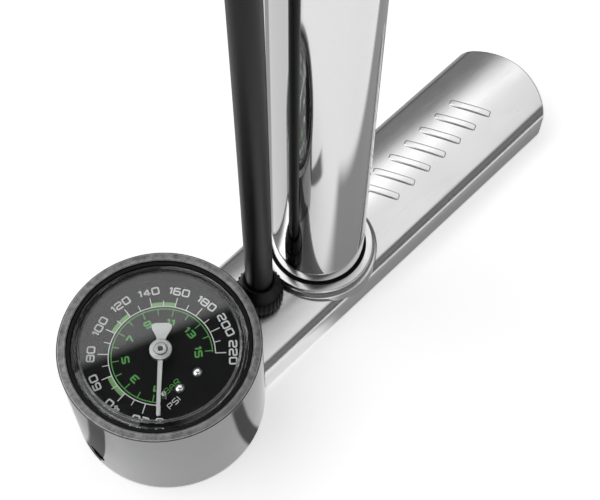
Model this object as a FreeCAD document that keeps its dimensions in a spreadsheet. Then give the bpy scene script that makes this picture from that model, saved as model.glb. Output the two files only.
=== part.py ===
import FreeCAD, Part
import math
import os
import re

import Sketcher

# A floor bike pump: a polished beam foot with a pressure gauge at one end, a polished barrel
# standing on the beam, a T-handle on the piston rod, and a rubber hose with a lever chuck.
# Millimetres. The origin is on the floor on the barrel's axis. +Z is up, and +X runs from the
# gauge towards the foot's far end.

doc = FreeCAD.newDocument("floor_pump")
sheet = doc.addObject("Spreadsheet::Sheet", "Sizes")

SIZES = {
    # foot beam
    "beam_half_width": 22.8, "beam_crown": 17.0, "beam_bottom": 1.0, "beam_wall": 2.5,
    "beam_shoulder": 6.0, "beam_crown_radius": 73.0, "beam_far_end": 118.0,
    "beam_end_radius": 32.0, "beam_corner": 4.0, "beam_near_end": -58.0,
    "grip_bar_count": 7.0, "grip_bar_first": 34.0, "grip_bar_pitch": 9.0,
    "grip_bar_length": 17.0, "grip_bar_width": 3.0, "grip_bar_height": 0.5, "grip_bar_slant": 25.0,
    "pad_boss_radius": 5.5, "pad_boss_x": 98.0, "pad_boss_y": 13.0, "pad_boss_bottom": 3.7,
    "pad_radius": 7.0, "pad_height": 3.5, "pad_stem_radius": 2.4, "pad_stem_top": 9.0,
    "pad_hole_radius": 2.45, "pad_hole_top": 10.0,
    "centre_pad_radius": 8.8, "centre_pad_height": 3.9,
    # gauge pod
    "pod_x": -77.4, "pod_radius": 35.0, "pod_bore": 31.75, "pod_bottom": 1.0, "pod_top": 49.6,
    "pod_window_half": 9.4, "pod_window_bottom": 3.6, "pod_window_top": 14.0,
    "ledge_bore": 29.5, "ledge_bottom": 12.6, "ledge_top": 13.9,
    "lug_radius": 4.0, "lug_place": 27.6, "lug_bottom": 5.1, "lug_top": 12.6, "lug_hole": 1.3,
    "bolt_boss_radius": 6.0, "bolt_boss_depth": 8.0, "bolt_height": 9.0,
    "bolt_recess_radius": 3.75, "bolt_recess_depth": 5.5, "bolt_hole": 2.2,
    "bolt_head_radius": 3.5, "bolt_head_length": 4.0, "bolt_radius": 1.95, "bolt_end_x": -56.0,
    "bolt_socket": 3.0, "bolt_socket_depth": 2.2,
    "plate_radius": 31.6, "plate_bottom": 3.0, "plate_top": 5.0, "plate_screw_hole": 1.7,
    "plate_screw_head": 2.9, "plate_screw_head_depth": 1.2, "plate_screw_radius": 1.25,
    "plate_screw_top": 11.5, "pod_pad_bore": 11.0, "pod_pad_radius": 21.0,
    # gauge case, lens and dial
    "case_radius": 31.4, "case_bore": 29.7, "case_bottom": 14.0, "case_floor": 15.5,
    "case_top": 46.1, "lens_radius": 30.65, "lens_bottom": 46.2, "lens_edge_top": 48.3,
    "lens_flat_radius": 27.6, "gasket_bore": 30.75, "gasket_radius": 31.7, "gasket_top": 49.2,
    "dial_radius": 28.2, "dial_bottom": 38.5, "dial_top": 39.5, "dial_hole": 2.6,
    "dial_screw_place": 14.2, "dial_screw_spread": 17.0, "dial_screw_head": 1.85,
    "dial_screw_rise": 1.1, "dial_screw_radius": 0.9, "dial_post_radius": 2.0,
    "dial_post_bore": 0.95, "stop_pin_place": 16.5, "stop_pin_azimuth": -128.6,
    "stop_pin_radius": 0.9, "stop_pin_top": 45.2,
    # needle and movement, round the pod's centre
    "needle_azimuth": -135.0, "needle_length": 24.0, "needle_root_width": 2.1,
    "needle_tip_width": 1.2, "needle_tail": 10.0, "needle_tail_width": 7.0,
    "needle_neck_width": 3.4, "needle_neck": 3.6, "needle_bottom": 43.7, "needle_top": 44.2,
    "needle_hub_radius": 4.0, "needle_step_top": 44.7, "needle_boss_radius": 2.3,
    "needle_boss_top": 45.4, "arbor_radius": 0.8,
    "bottom_plate_low": 24.5, "bottom_plate_high": 26.0, "top_plate_low": 32.5,
    "top_plate_high": 34.0, "movement_radius": 23.8, "pivot_hole": 0.85,
    "pillar_radius": 1.5, "pillar_screw_bore": 0.8, "pillar_screw_radius": 0.75,
    "pillar_screw_head": 1.4, "pillar_screw_rise": 1.0, "pillar_screw_depth": 4.0,
    "gear_module": 0.5, "pinion_teeth": 10.0, "sector_teeth": 80.0, "pinion_low": 27.9,
    "pinion_high": 31.0, "sector_low": 28.6, "sector_high": 30.1, "sector_azimuth": -50.0,
    "sector_arbor": 1.2, "sector_hub": 3.4, "sector_tail": 5.0,
    "sector_tail_azimuth": 105.0,
    "link_low": 26.8, "link_high": 27.6, "link_half_width": 1.1, "link_pin": 0.5,
    "link_pin_hole": 0.6, "tube_radius": 25.0, "tube_half_thickness": 1.1, "tube_low": 17.0,
    "tube_high": 23.0, "tube_wall": 0.4, "tube_root": 17.0, "tube_tip": 250.0,
    "tip_clearance": 4.2, "socket_near": 16.4, "socket_far": 27.4, "socket_half": 7.0,
    "socket_low": 15.6, "socket_high": 24.4, "socket_stem": 4.0, "socket_nipple": 2.4,
    "socket_nipple_low": 10.6, "socket_bore": 1.0, "socket_bore_height": 20.0,
    "socket_screw_x": 21.5, "socket_screw_y": 4.0,
    "socket_screw_radius": 0.95, "socket_screw_head": 1.7, "socket_screw_rise": 1.1,
    "socket_screw_low": 20.0,
    # air manifold under the beam
    "manifold_near": -66.0, "manifold_far": 14.0, "manifold_half": 9.0, "manifold_low": 4.0,
    "manifold_high": 13.75, "bore_y": 6.0, "bore_z": 8.3, "bore_radius": 1.5,
    "bore_plug_length": 4.0, "chamber_low": 7.0, "gauge_port_x": -58.0, "gauge_port_radius": 2.45,
    # barrel foot, check valve and collar
    "boss_radius": 7.95, "boss_hole": 8.0, "boss_low": 9.6, "flange_low": 17.1,
    "flange_radius": 17.4, "flange_high": 19.0, "plug_radius": 15.4, "plug_top": 34.0,
    "plug_groove": 13.4, "plug_groove_low": 25.9, "plug_groove_high": 28.1,
    "plug_seal_low": 26.0, "plug_seal_high": 28.0, "valve_port": 2.0, "valve_seat": 27.0,
    "valve_cavity": 3.7, "ball_radius": 3.2, "ball_height": 24.45, "spring_radius": 2.3,
    "spring_wire": 0.35, "spring_low": 7.45, "spring_high": 20.8, "spring_turns": 7.0,
    "collar_bore": 17.6, "collar_low": 11.0, "collar_radius": 22.75, "collar_skirt_top": 17.5,
    "collar_step_radius": 21.6, "collar_step_top": 18.7, "collar_top_radius": 21.0,
    "collar_top": 20.3, "collar_seal_radius": 18.9, "collar_seal_low": 19.5,
    "collar_seal_top": 20.5,
    # barrel, cap and piston
    "barrel_radius": 17.5, "barrel_bore": 15.5, "barrel_low": 19.1, "barrel_high": 575.0,
    "cap_radius": 21.5, "cap_low": 548.0, "cap_step": 575.1, "cap_high": 588.0,
    "cap_chamfer": 2.5, "cap_bore": 9.05, "cap_skirt_bore": 17.55, "bush_radius": 9.0,
    "bush_bore": 6.05, "bush_low": 568.0, "bush_flange_radius": 11.5, "bush_high": 590.0,
    "piston_low": 39.0, "piston_high": 58.0, "piston_radius": 15.2, "piston_bore": 4.05,
    "seal_groove": 13.4, "seal_groove_low": 42.9, "seal_groove_high": 46.1,
    "seal_radius": 15.45, "seal_low": 43.0, "seal_high": 46.0, "ring_groove": 14.2,
    "ring_groove_low": 49.9, "ring_groove_high": 55.1, "ring_radius": 15.42,
    "ring_low": 50.0, "ring_high": 55.0, "rod_radius": 6.0, "rod_stub": 4.0,
    "rod_low": 38.6, "rod_shoulder": 58.15, "rod_high": 616.0, "rod_bolt_bore": 2.05,
    "rod_bolt_bore_top": 51.0, "piston_bolt_low": 35.0, "piston_bolt_high": 38.55,
    "piston_bolt_head": 6.5, "piston_bolt_radius": 2.0, "piston_bolt_top": 50.0,
    "hex_depth": 2.0,
    # handle
    "bumper_low": 591.0, "bumper_high": 596.0, "bumper_radius": 11.0, "bumper_bore": 6.1,
    "hub_low": 596.0, "hub_neck_radius": 10.0, "hub_neck_top": 612.0, "hub_foot_radius": 11.5,
    "hub_foot_top": 599.0, "hub_radius": 12.8, "hub_half_length": 19.0, "bar_height": 627.0,
    "bar_radius": 9.0, "bar_wall": 1.5, "bar_half_length": 121.0, "hub_pin_radius": 2.0,
    "hub_pin_height": 606.0, "hub_pin_half_length": 10.2, "grip_inner_end": 19.5,
    "grip_outer_end": 121.5, "grip_collar_radius": 14.5, "grip_collar_length": 4.0,
    "grip_waist_radius": 12.6, "grip_waist_x": 34.0, "grip_belly_radius": 15.8,
    "grip_belly_x": 78.0, "grip_end_radius": 13.6, "grip_bore": 9.05, "end_cap_radius": 13.6,
    "end_cap_end": 125.5, "end_cap_plug": 7.4, "end_cap_plug_start": 112.0,
    "end_cap_start": 121.6, "end_cap_edge": 1.5,
    # hose, its fitting and its hook
    "hose_x": -30.5, "hose_radius": 5.0, "fitting_radius": 5.0, "fitting_low": 8.0,
    "fitting_hole": 5.05, "fitting_flange_radius": 7.0, "fitting_flange_low": 17.2,
    "fitting_flange_high": 20.0, "fitting_barb": 4.8, "hose_start": 24.2, "fitting_bore": 1.8,
    "nut_radius": 8.35, "nut_foot_radius": 7.6, "nut_low": 17.1, "nut_flange_bore": 7.15,
    "nut_flange_top": 20.3,
    "nut_bore": 5.2, "nut_rib_low": 18.9, "nut_rib_top": 25.4, "nut_cone_radius": 7.9,
    "nut_cone_top_radius": 6.0, "nut_top": 32.0, "nut_rib_radius": 0.42, "nut_rib_count": 30.0,
    "hook_height": 566.0, "hook_y": 32.0, "hook_bore": 5.4, "hook_radius": 8.0,
    "hook_half_width": 5.0, "band_radius": 20.6, "band_bore": 17.6, "hook_band_low": 536.0,
    "hook_band_high": 547.5, "hook_arm_near": 18.5, "hook_arm_far": 36.0, "hook_post_near": 27.5,
    "hook_lip": 3.5,
    # chuck and its dock
    "chuck_x": 34.5, "chuck_z": 190.0, "head_radius": 10.0, "head_back": -17.0,
    "head_front": 12.0, "head_bore": 6.0, "head_bore_back": -9.5, "neck_radius": 6.5,
    "neck_top": 224.0, "neck_bore": 2.0, "slot_half": 3.8, "slot_front": -7.2,
    "mouth_cap_radius": 11.5, "mouth_cap_front": 17.0, "mouth_radius": 4.2,
    "mouth_cap_start": 12.1, "gasket_start": 1.8, "gasket_end": 12.0, "gasket_outer": 5.9,
    "gasket_hole": 3.95, "plunger_back": -8.9, "plunger_front": 0.0, "plunger_radius": 5.92,
    "plunger_waist": 4.4, "plunger_waist_back": -5.5, "plunger_waist_front": -2.0,
    "plunger_bore": 1.5, "pivot_y": -13.0, "lever_pin_radius": 1.5, "lever_pin_half": 9.2,
    "lever_bore": 1.55, "cam_radius": 4.75, "cam_offset": 0.75, "lever_half": 3.5,
    "lever_near": -23.6, "lever_far": -27.0, "lever_arm_half": 6.0, "lever_arm_low": 184.0,
    "lever_arm_high": 246.0, "lever_link_low": 186.2, "lever_link_high": 193.0,
    "lever_edge": 1.2, "ferrule_bore": 5.15, "ferrule_radius": 6.8, "ferrule_low": 224.2,
    "ferrule_high": 238.0, "dock_low": 205.0, "dock_high": 217.0, "dock_clip_radius": 9.6,
    "dock_clip_bore": 6.8, "dock_arm_half": 4.5, "dock_arm_near": 18.5, "dock_arm_far": 27.0,
    "dock_mouth_half": 4.9, "dock_mouth_start": 3.5, "dock_mouth_length": 10.0,
}

for row, (name, value) in enumerate(SIZES.items(), start=1):
    sheet.set(f"A{row}", name)
    sheet.set(f"B{row}", str(value))
    sheet.setAlias(f"B{row}", name)
doc.recompute()

SUB_PARTS = []


def linked(text):
    """An expression with each size's name pointing to the sheet."""
    return re.sub(r"[a-z][a-z0-9_]+\b(?!\()", lambda name: "Sizes." + name.group(), text)


def number(text):
    """What an expression over the sheet comes to."""
    return float(sheet.evalExpression(linked(text)))


def bind(thing, **sizes):
    for prop, text in sizes.items():
        thing.setExpression(prop, linked(text))


def move(thing, x="0", y="0", z="0"):
    for axis, text in zip("xyz", (x, y, z)):
        if text != "0":
            thing.setExpression(f"Placement.Base.{axis}", linked(text))
    return thing


def turn_to(thing, axis):
    """Lays a primitive that is made along +Z along +X or +Y."""
    if axis == "x":
        thing.Placement.Rotation = FreeCAD.Rotation(FreeCAD.Vector(0, 1, 0), 90)
    elif axis == "y":
        thing.Placement.Rotation = FreeCAD.Rotation(FreeCAD.Vector(1, 0, 0), -90)
    return thing


def rod(radius, start, end, x="0", y="0", along="z"):
    """A cylinder from start to end along an axis; x and y are its other two places."""
    thing = turn_to(doc.addObject("Part::Cylinder", "rod"), along)
    bind(thing, Radius=radius, Height=f"({end}) - ({start})")
    if along == "z":
        return move(thing, x, y, start)
    if along == "x":
        return move(thing, start, x, y)
    return move(thing, x, start, y)


def block(x, y, z):
    """A box between two expressions on each axis."""
    thing = doc.addObject("Part::Box", "block")
    bind(thing, Length=f"({x[1]}) - ({x[0]})", Width=f"({y[1]}) - ({y[0]})",
         Height=f"({z[1]}) - ({z[0]})")
    return move(thing, x[0], y[0], z[0])


def hexagon(flats, start, end, x="0", y="0", along="z"):
    """A hexagonal prism, for sockets; flats is half the width across its flats."""
    thing = turn_to(doc.addObject("Part::Prism", "hexagon"), along)
    thing.Polygon = 6
    bind(thing, Circumradius=f"({flats}) * 2 / sqrt(3)", Height=f"({end}) - ({start})")
    if along == "x":
        return move(thing, start, x, y)
    return move(thing, x, y, start)


def joined(*things):
    if len(things) == 1:
        return things[0]
    whole = doc.addObject("Part::MultiFuse", "joined")
    whole.Shapes = list(things)
    return whole


def cut(base, *tools):
    whole = doc.addObject("Part::Cut", "cut")
    whole.Base = base
    whole.Tool = joined(*tools)
    return whole


def common(first, second):
    whole = doc.addObject("Part::Common", "common")
    whole.Base = first
    whole.Tool = second
    return whole


def group(*things):
    """Separate solids that share a node, such as identical screws."""
    whole = doc.addObject("Part::Compound", "group")
    whole.Links = list(things)
    return whole


def plain(shape, x=0.0, y=0.0, z=0.0):
    """A shape made by Part's own functions."""
    thing = doc.addObject("Part::Feature", "shape")
    thing.Shape = shape
    thing.Placement = FreeCAD.Placement(FreeCAD.Vector(x, y, z), FreeCAD.Rotation())
    return thing


def sub_part(label, thing):
    thing.Label = label
    SUB_PARTS.append(thing)
    return thing


def plane(body, role):
    return [f for f in body.Origin.OriginFeatures if f.Role == role][0]


def outline(body, role, points):
    """A closed sketch through points whose two places are bound to the sheet."""
    sketch = body.newObject("Sketcher::SketchObject", "outline")
    sketch.AttachmentSupport = [(plane(body, role), "")]
    sketch.MapMode = "FlatFace"
    places = [FreeCAD.Vector(number(a), number(b), 0) for a, b in points]
    for here, there in zip(places, places[1:] + places[:1]):
        sketch.addGeometry(Part.LineSegment(here, there))
    for i, (a, b) in enumerate(points):
        follows = (i + 1) % len(points)
        sketch.addConstraint(Sketcher.Constraint("Coincident", i, 2, follows, 1))
        for kind, text, value in (("DistanceX", a, places[i].x), ("DistanceY", b, places[i].y)):
            at = sketch.addConstraint(Sketcher.Constraint(kind, -1, 1, i, 1, value))
            sketch.setExpression(f"Constraints[{at}]", linked(text))
    return sketch


def turned(profile, x="0", y="0", along="z"):
    """A body turned round an upright axis at (x, y), or round the line y = x, z = y along X.

    Each profile point is (distance from the axis, place along it)."""
    body = doc.addObject("PartDesign::Body", "turned")
    if along == "z":
        sketch = outline(body, "XZ_Plane", profile)
        axis = "V_Axis"
    else:
        sketch = outline(body, "XZ_Plane", [(place, distance) for distance, place in profile])
        axis = "H_Axis"
    whole = body.newObject("PartDesign::Revolution", "turn")
    whole.Profile = sketch
    whole.ReferenceAxis = (sketch, [axis])
    whole.Angle = 360
    if along == "z":
        return move(body, x, y)
    return move(body, "0", x, y)


def padded(points, start, end, x="0", y="0"):
    """A body raised from a flat outline, between two heights."""
    body = doc.addObject("PartDesign::Body", "padded")
    sketch = outline(body, "XY_Plane", points)
    pad = body.newObject("PartDesign::Pad", "pad")
    pad.Profile = sketch
    pad.setExpression("Length", linked(f"({end}) - ({start})"))
    return move(body, x, y, start)


def polar(place, azimuth, centre="pod_x"):
    """The place at a distance and an azimuth round the pod's centre, as two expressions."""
    return (f"({centre}) + ({place}) * {math.cos(math.radians(azimuth)):.6f}",
            f"({place}) * {math.sin(math.radians(azimuth)):.6f}")


# ---------------------------------------------------------------- foot beam
# The beam is a channel open below. Its section has upright skirts, rounded shoulders and a
# gently crowned top; in plan its far end is an arc with small corners.

def beam_section(inset, low):
    """The section in the YZ plane, closed at its foot; inset shrinks it all round."""
    half = number("beam_half_width") - inset
    shoulder = number("beam_shoulder") - inset
    crown_radius = number("beam_crown_radius") - inset
    crown_z = number("beam_crown") - inset
    centre_z = crown_z - crown_radius
    shoulder_y = half - shoulder
    # the shoulder's circle touches the skirt and the crown's circle from inside
    shoulder_z = centre_z + math.sqrt((crown_radius - shoulder) ** 2 - shoulder_y ** 2)
    reach = math.atan2(shoulder_y, shoulder_z - centre_z)
    points = {}
    for side in (1, -1):
        touch = (side * crown_radius * math.sin(reach), centre_z + crown_radius * math.cos(reach))
        middle = (math.pi / 2 - reach) / 2
        points[side] = (
            FreeCAD.Vector(0, side * half, low),
            FreeCAD.Vector(0, side * half, shoulder_z),
            FreeCAD.Vector(0, side * (shoulder_y + shoulder * math.cos(middle)),
                           shoulder_z + shoulder * math.sin(middle)),
            FreeCAD.Vector(0, *touch),
        )
    top = FreeCAD.Vector(0, 0, crown_z)
    right, left = points[1], points[-1]
    edges = [
        Part.LineSegment(right[0], right[1]),
        Part.Arc(right[1], right[2], right[3]),
        Part.Arc(right[3], top, left[3]),
        Part.Arc(left[3], left[2], left[1]),
        Part.LineSegment(left[1], left[0]),
        Part.LineSegment(left[0], right[0]),
    ]
    return Part.Face(Part.Wire([edge.toShape() for edge in edges]))


def beam_plan(inset, low):
    """The plan outline, raised to above the crown."""
    half = number("beam_half_width") - inset
    end = number("beam_far_end") - inset
    near = number("beam_near_end")
    radius = number("beam_end_radius") - inset
    corner = end - radius + math.sqrt(radius ** 2 - half ** 2)
    edges = [
        Part.LineSegment(FreeCAD.Vector(near, -half, low), FreeCAD.Vector(corner, -half, low)),
        Part.Arc(FreeCAD.Vector(corner, -half, low), FreeCAD.Vector(end, 0, low),
                 FreeCAD.Vector(corner, half, low)),
        Part.LineSegment(FreeCAD.Vector(corner, half, low), FreeCAD.Vector(near, half, low)),
        Part.LineSegment(FreeCAD.Vector(near, half, low), FreeCAD.Vector(near, -half, low)),
    ]
    face = Part.Face(Part.Wire([edge.toShape() for edge in edges]))
    solid = face.extrude(FreeCAD.Vector(0, 0, number("beam_crown")))
    upright = [e for e in solid.Edges if abs(e.tangentAt(e.FirstParameter).z) > 0.99
               and e.CenterOfMass.x > near + 1]
    return solid.makeFillet(number("beam_corner") - inset, upright)


def beam_envelope(inset=0.0, low=None):
    """The beam as if it were solid."""
    low = number("beam_bottom") if low is None else low
    near, end = number("beam_near_end"), number("beam_far_end")
    section = beam_section(inset, low)
    section.translate(FreeCAD.Vector(near, 0, 0))
    return section.extrude(FreeCAD.Vector(end - near, 0, 0)).common(beam_plan(inset, low))


def grip_bars():
    """Slanted raised bars in a row on the crown, in place of an embossed mark."""
    half_length = number("grip_bar_length / 2")
    half_width = number("grip_bar_width / 2")
    proud = beam_envelope(-number("grip_bar_height"))
    bars = []
    for i in range(int(number("grip_bar_count"))):
        bar = Part.makeBox(2 * half_width, 2 * half_length, number("beam_crown"),
                           FreeCAD.Vector(-half_width, -half_length, number("beam_crown / 2")))
        bar.rotate(FreeCAD.Vector(), FreeCAD.Vector(0, 0, 1), number("grip_bar_slant"))
        bar.translate(FreeCAD.Vector(number("grip_bar_first") + i * number("grip_bar_pitch"), 0, 0))
        bars.append(bar.common(proud))
    return bars


def foot_beam():
    solid = beam_envelope()
    solid = solid.fuse(grip_bars())
    solid = solid.cut(beam_envelope(number("beam_wall"), number("beam_bottom - 1")))
    inside = beam_envelope(number("beam_wall / 2"))
    bosses = [
        Part.makeCylinder(number("pad_boss_radius"), number("beam_crown"),
                          FreeCAD.Vector(number("pad_boss_x"), side * number("pad_boss_y"),
                                         number("pad_boss_bottom"))).common(inside)
        for side in (1, -1)
    ]
    solid = solid.fuse(bosses)
    holes = [
        Part.makeCylinder(number("pad_hole_radius"), number("pad_hole_top"),
                          FreeCAD.Vector(number("pad_boss_x"), side * number("pad_boss_y"), 0))
        for side in (1, -1)
    ]
    holes.append(Part.makeCylinder(number("boss_hole"), number("beam_crown * 2")))
    holes.append(Part.makeCylinder(number("fitting_hole"), number("beam_crown * 2"),
                                   FreeCAD.Vector(number("hose_x"), 0, 0)))
    holes.append(Part.makeCylinder(number("pod_radius"), number("pod_top"),
                                   FreeCAD.Vector(number("pod_x"), 0, 0)))
    return solid.cut(holes).removeSplitter()


sub_part("foot_beam", plain(foot_beam()))

sub_part("centre_foot_pad", rod("centre_pad_radius", "0", "centre_pad_height"))

sub_part("end_foot_pads", group(*[
    joined(rod("pad_radius", "0", "pad_height", "pad_boss_x", f"{side} * pad_boss_y"),
           rod("pad_stem_radius", "pad_height / 2", "pad_stem_top", "pad_boss_x",
               f"{side} * pad_boss_y"))
    for side in ("1", "-1")
]))

# ---------------------------------------------------------------- gauge pod
# A turned cup at the beam's end. A ledge in it carries the gauge, three lugs take the base
# plate's screws, and a long bolt through its far wall pulls it to the manifold.

LUG_AZIMUTHS = (90, 210, 330)
LUGS = [polar("lug_place", azimuth) for azimuth in LUG_AZIMUTHS]
far_wall = "pod_x - pod_radius"

pod_shell = cut(rod("pod_radius", "pod_bottom", "pod_top", "pod_x"),
                rod("pod_bore", "0", "pod_top + 1", "pod_x"))
pod_ledge = cut(rod("(pod_bore + pod_radius) / 2", "ledge_bottom", "ledge_top", "pod_x"),
                rod("ledge_bore", "0", "pod_top", "pod_x"))
pod_lugs = common(joined(*[rod("lug_radius", "lug_bottom", "lug_top", x, y) for x, y in LUGS]),
                  rod("(pod_bore + pod_radius) / 2", "0", "pod_top", "pod_x"))
bolt_boss = common(rod("bolt_boss_radius", f"{far_wall}", f"{far_wall} + bolt_boss_depth",
                       "0", "bolt_height", "x"),
                   rod("pod_radius - 0.5", "plate_top + 0.1", "ledge_top", "pod_x"))
sub_part("gauge_pod", cut(
    joined(pod_shell, pod_ledge, pod_lugs, bolt_boss),
    block(("pod_x", "pod_x + pod_radius + 5"), ("-pod_window_half", "pod_window_half"),
          ("pod_window_bottom", "pod_window_top")),
    rod("bolt_recess_radius", f"{far_wall} - 1", f"{far_wall} + bolt_recess_depth",
        "0", "bolt_height", "x"),
    rod("bolt_hole", f"{far_wall}", f"{far_wall} + bolt_boss_depth + 2", "0", "bolt_height", "x"),
    *[rod("lug_hole", "0", "lug_top - 0.6", x, y) for x, y in LUGS],
))

head_start = f"{far_wall} + bolt_recess_depth - bolt_head_length"
sub_part("pod_bolt", cut(
    joined(rod("bolt_head_radius", head_start, f"{far_wall} + bolt_recess_depth",
               "0", "bolt_height", "x"),
           rod("bolt_radius", f"{far_wall} + bolt_recess_depth", "bolt_end_x",
               "0", "bolt_height", "x")),
    hexagon("bolt_socket / 2", head_start, f"{head_start} + bolt_socket_depth",
            "0", "bolt_height", "x"),
))

sub_part("pod_base_plate", cut(
    rod("plate_radius", "plate_bottom", "plate_top", "pod_x"),
    block(("pod_x + 11", "pod_x + pod_radius + 5"),
          ("-pod_window_half", "pod_window_half"), ("pod_window_bottom", "pod_window_top")),
    *[rod("plate_screw_hole", "0", "plate_top + 1", x, y) for x, y in LUGS],
    *[rod("plate_screw_head + 0.2", "0", "plate_bottom + plate_screw_head_depth", x, y)
      for x, y in LUGS],
))

sub_part("base_plate_screws", group(*[
    joined(rod("plate_screw_head", "plate_bottom + 0.05",
               "plate_bottom + plate_screw_head_depth", x, y),
           rod("plate_screw_radius", "plate_bottom + 0.1", "plate_screw_top", x, y))
    for x, y in LUGS
]))

sub_part("pod_foot_pad", cut(rod("pod_pad_radius", "0", "plate_bottom - 0.02", "pod_x"),
                             rod("pod_pad_bore", "-1", "plate_bottom + 1", "pod_x")))

# ---------------------------------------------------------------- gauge case, lens and dial
stem_x, stem_y = "gauge_port_x", "bore_y"
sub_part("gauge_case", cut(
    turned([("0", "case_bottom"), ("case_radius", "case_bottom"), ("case_radius", "case_top - 0.6"),
            ("case_radius - 0.8", "case_top"), ("case_bore", "case_top"),
            ("case_bore", "case_floor"), ("0", "case_floor")], "pod_x"),
    rod("socket_stem + 0.1", "case_bottom - 1", "case_floor + 1", stem_x, stem_y),
))

sub_part("gauge_gasket", cut(rod("gasket_radius", "case_top + 0.05", "gasket_top", "pod_x"),
                             rod("gasket_bore", "0", "pod_top", "pod_x")))

sub_part("gauge_lens", turned([
    ("0", "lens_bottom"), ("lens_radius", "lens_bottom"), ("lens_radius", "lens_edge_top"),
    ("lens_flat_radius", "pod_top"), ("0", "pod_top")], "pod_x"))

DIAL_SCREWS = [polar("dial_screw_place", -90 + side * number("dial_screw_spread"))
               for side in (-1, 1)]
STOP_PIN = polar("stop_pin_place", number("stop_pin_azimuth"))
sub_part("dial_face", cut(
    rod("dial_radius", "dial_bottom", "dial_top", "pod_x"),
    rod("dial_hole", "dial_bottom - 1", "dial_top + 1", "pod_x"),
    rod("stop_pin_radius", "dial_bottom - 1", "dial_top + 1", *STOP_PIN),
    *[rod("dial_post_bore", "dial_bottom - 1", "dial_top + 1", x, y) for x, y in DIAL_SCREWS],
))

sub_part("dial_posts", group(*[
    cut(rod("dial_post_radius", "top_plate_high", "dial_bottom", x, y),
        rod("dial_post_bore", "top_plate_high - 1", "dial_bottom + 1", x, y))
    for x, y in DIAL_SCREWS
]))


def dome_screw(x, y):
    return turned([
        ("0", "top_plate_low + 0.3"), ("dial_screw_radius", "top_plate_low + 0.3"),
        ("dial_screw_radius", "dial_top"), ("dial_screw_head", "dial_top"),
        ("dial_screw_head * 0.92", "dial_top + dial_screw_rise * 0.5"),
        ("dial_screw_head * 0.6", "dial_top + dial_screw_rise * 0.9"),
        ("0", "dial_top + dial_screw_rise")], x, y)


sub_part("dial_screws", group(*[dome_screw(x, y) for x, y in DIAL_SCREWS]))

sub_part("needle_stop_pin", rod("stop_pin_radius", "dial_bottom", "stop_pin_top", *STOP_PIN))

# ---------------------------------------------------------------- needle
# A flat blade with a fan-shaped tail on a stepped hub, pressed onto the pinion's arbor.
blade = padded([
    ("-needle_tail", "needle_tail_width / 2"), ("-needle_tail", "-needle_tail_width / 2"),
    ("-needle_neck", "-needle_neck_width / 2"), ("needle_neck", "-needle_root_width / 2"),
    ("needle_length - 1", "-needle_tip_width / 2"), ("needle_length", "0"),
    ("needle_length - 1", "needle_tip_width / 2"), ("needle_neck", "needle_root_width / 2"),
    ("-needle_neck", "needle_neck_width / 2")], "needle_bottom", "needle_top", "pod_x")
blade.Placement.Rotation = FreeCAD.Rotation(FreeCAD.Vector(0, 0, 1), number("needle_azimuth"))
sub_part("needle", cut(
    joined(blade,
           rod("needle_hub_radius", "needle_bottom - 0.5", "needle_step_top", "pod_x"),
           rod("needle_boss_radius", "needle_step_top - 0.1", "needle_boss_top", "pod_x")),
    rod("arbor_radius", "needle_bottom - 1", "needle_boss_top + 1", "pod_x"),
))


# ---------------------------------------------------------------- movement
# The sector turns 33.75 degrees and drives the pinion eight times as far.

def toothed(teeth, low, high, first, last):
    """Trapezoid teeth from tooth number first to last, with a round body under them.

    Tooth 0 points along +X, before the piece is turned to its place."""
    module = number("gear_module")
    pitch_radius = module * teeth / 2
    root, tip = pitch_radius - 1.25 * module, pitch_radius + 0.85 * module
    half = 0.4 * math.pi * module / 2
    tooth = Part.makePolygon([
        FreeCAD.Vector(root - 0.2, -half * 1.45, low), FreeCAD.Vector(tip, -half * 0.62, low),
        FreeCAD.Vector(tip, half * 0.62, low), FreeCAD.Vector(root - 0.2, half * 1.45, low),
        FreeCAD.Vector(root - 0.2, -half * 1.45, low)])
    solid = Part.Face(tooth).extrude(FreeCAD.Vector(0, 0, high - low))
    teeth_made = []
    for i in range(first, last + 1):
        copy = solid.copy()
        copy.rotate(FreeCAD.Vector(), FreeCAD.Vector(0, 0, 1), 360 * i / teeth)
        teeth_made.append(copy)
    return root, teeth_made


CENTRE = (number("pod_x"), 0.0)
pivot_distance = number("gear_module * (pinion_teeth + sector_teeth) / 2")
PIVOT = polar(f"{pivot_distance}", number("sector_azimuth"))
to_pinion = number("sector_azimuth") + 180
PIVOT_PLACE = (number(PIVOT[0]), number(PIVOT[1]))

# the link's pin on the sector stands on the side of the pivot that faces the pinion
tail_angle = math.radians(number("sector_tail_azimuth"))
TAIL_OFFSET = (number("sector_tail") * math.cos(tail_angle),
               number("sector_tail") * math.sin(tail_angle))
TAIL = (PIVOT_PLACE[0] + TAIL_OFFSET[0], PIVOT_PLACE[1] + TAIL_OFFSET[1])
tip_angle = math.radians(number("tube_tip"))
TUBE_TIP = (CENTRE[0] + number("tube_radius") * math.cos(tip_angle),
            number("tube_radius") * math.sin(tip_angle))


def pinion():
    teeth = int(number("pinion_teeth"))
    low, high = number("pinion_low"), number("pinion_high")
    root, made = toothed(teeth, low, high, 0, teeth - 1)
    gear = Part.makeCylinder(root, high - low, FreeCAD.Vector(0, 0, low)).fuse(made)
    # a gap of the pinion faces the sector, where a tooth of the sector stands
    gear.rotate(FreeCAD.Vector(), FreeCAD.Vector(0, 0, 1), number("sector_azimuth") + 180 / teeth)
    arbor = Part.makeCylinder(number("arbor_radius"),
                              number("needle_boss_top - bottom_plate_low - 0.2"),
                              FreeCAD.Vector(0, 0, number("bottom_plate_low + 0.2")))
    return gear.fuse(arbor).removeSplitter()


sub_part("pinion", plain(pinion(), *CENTRE))


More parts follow.
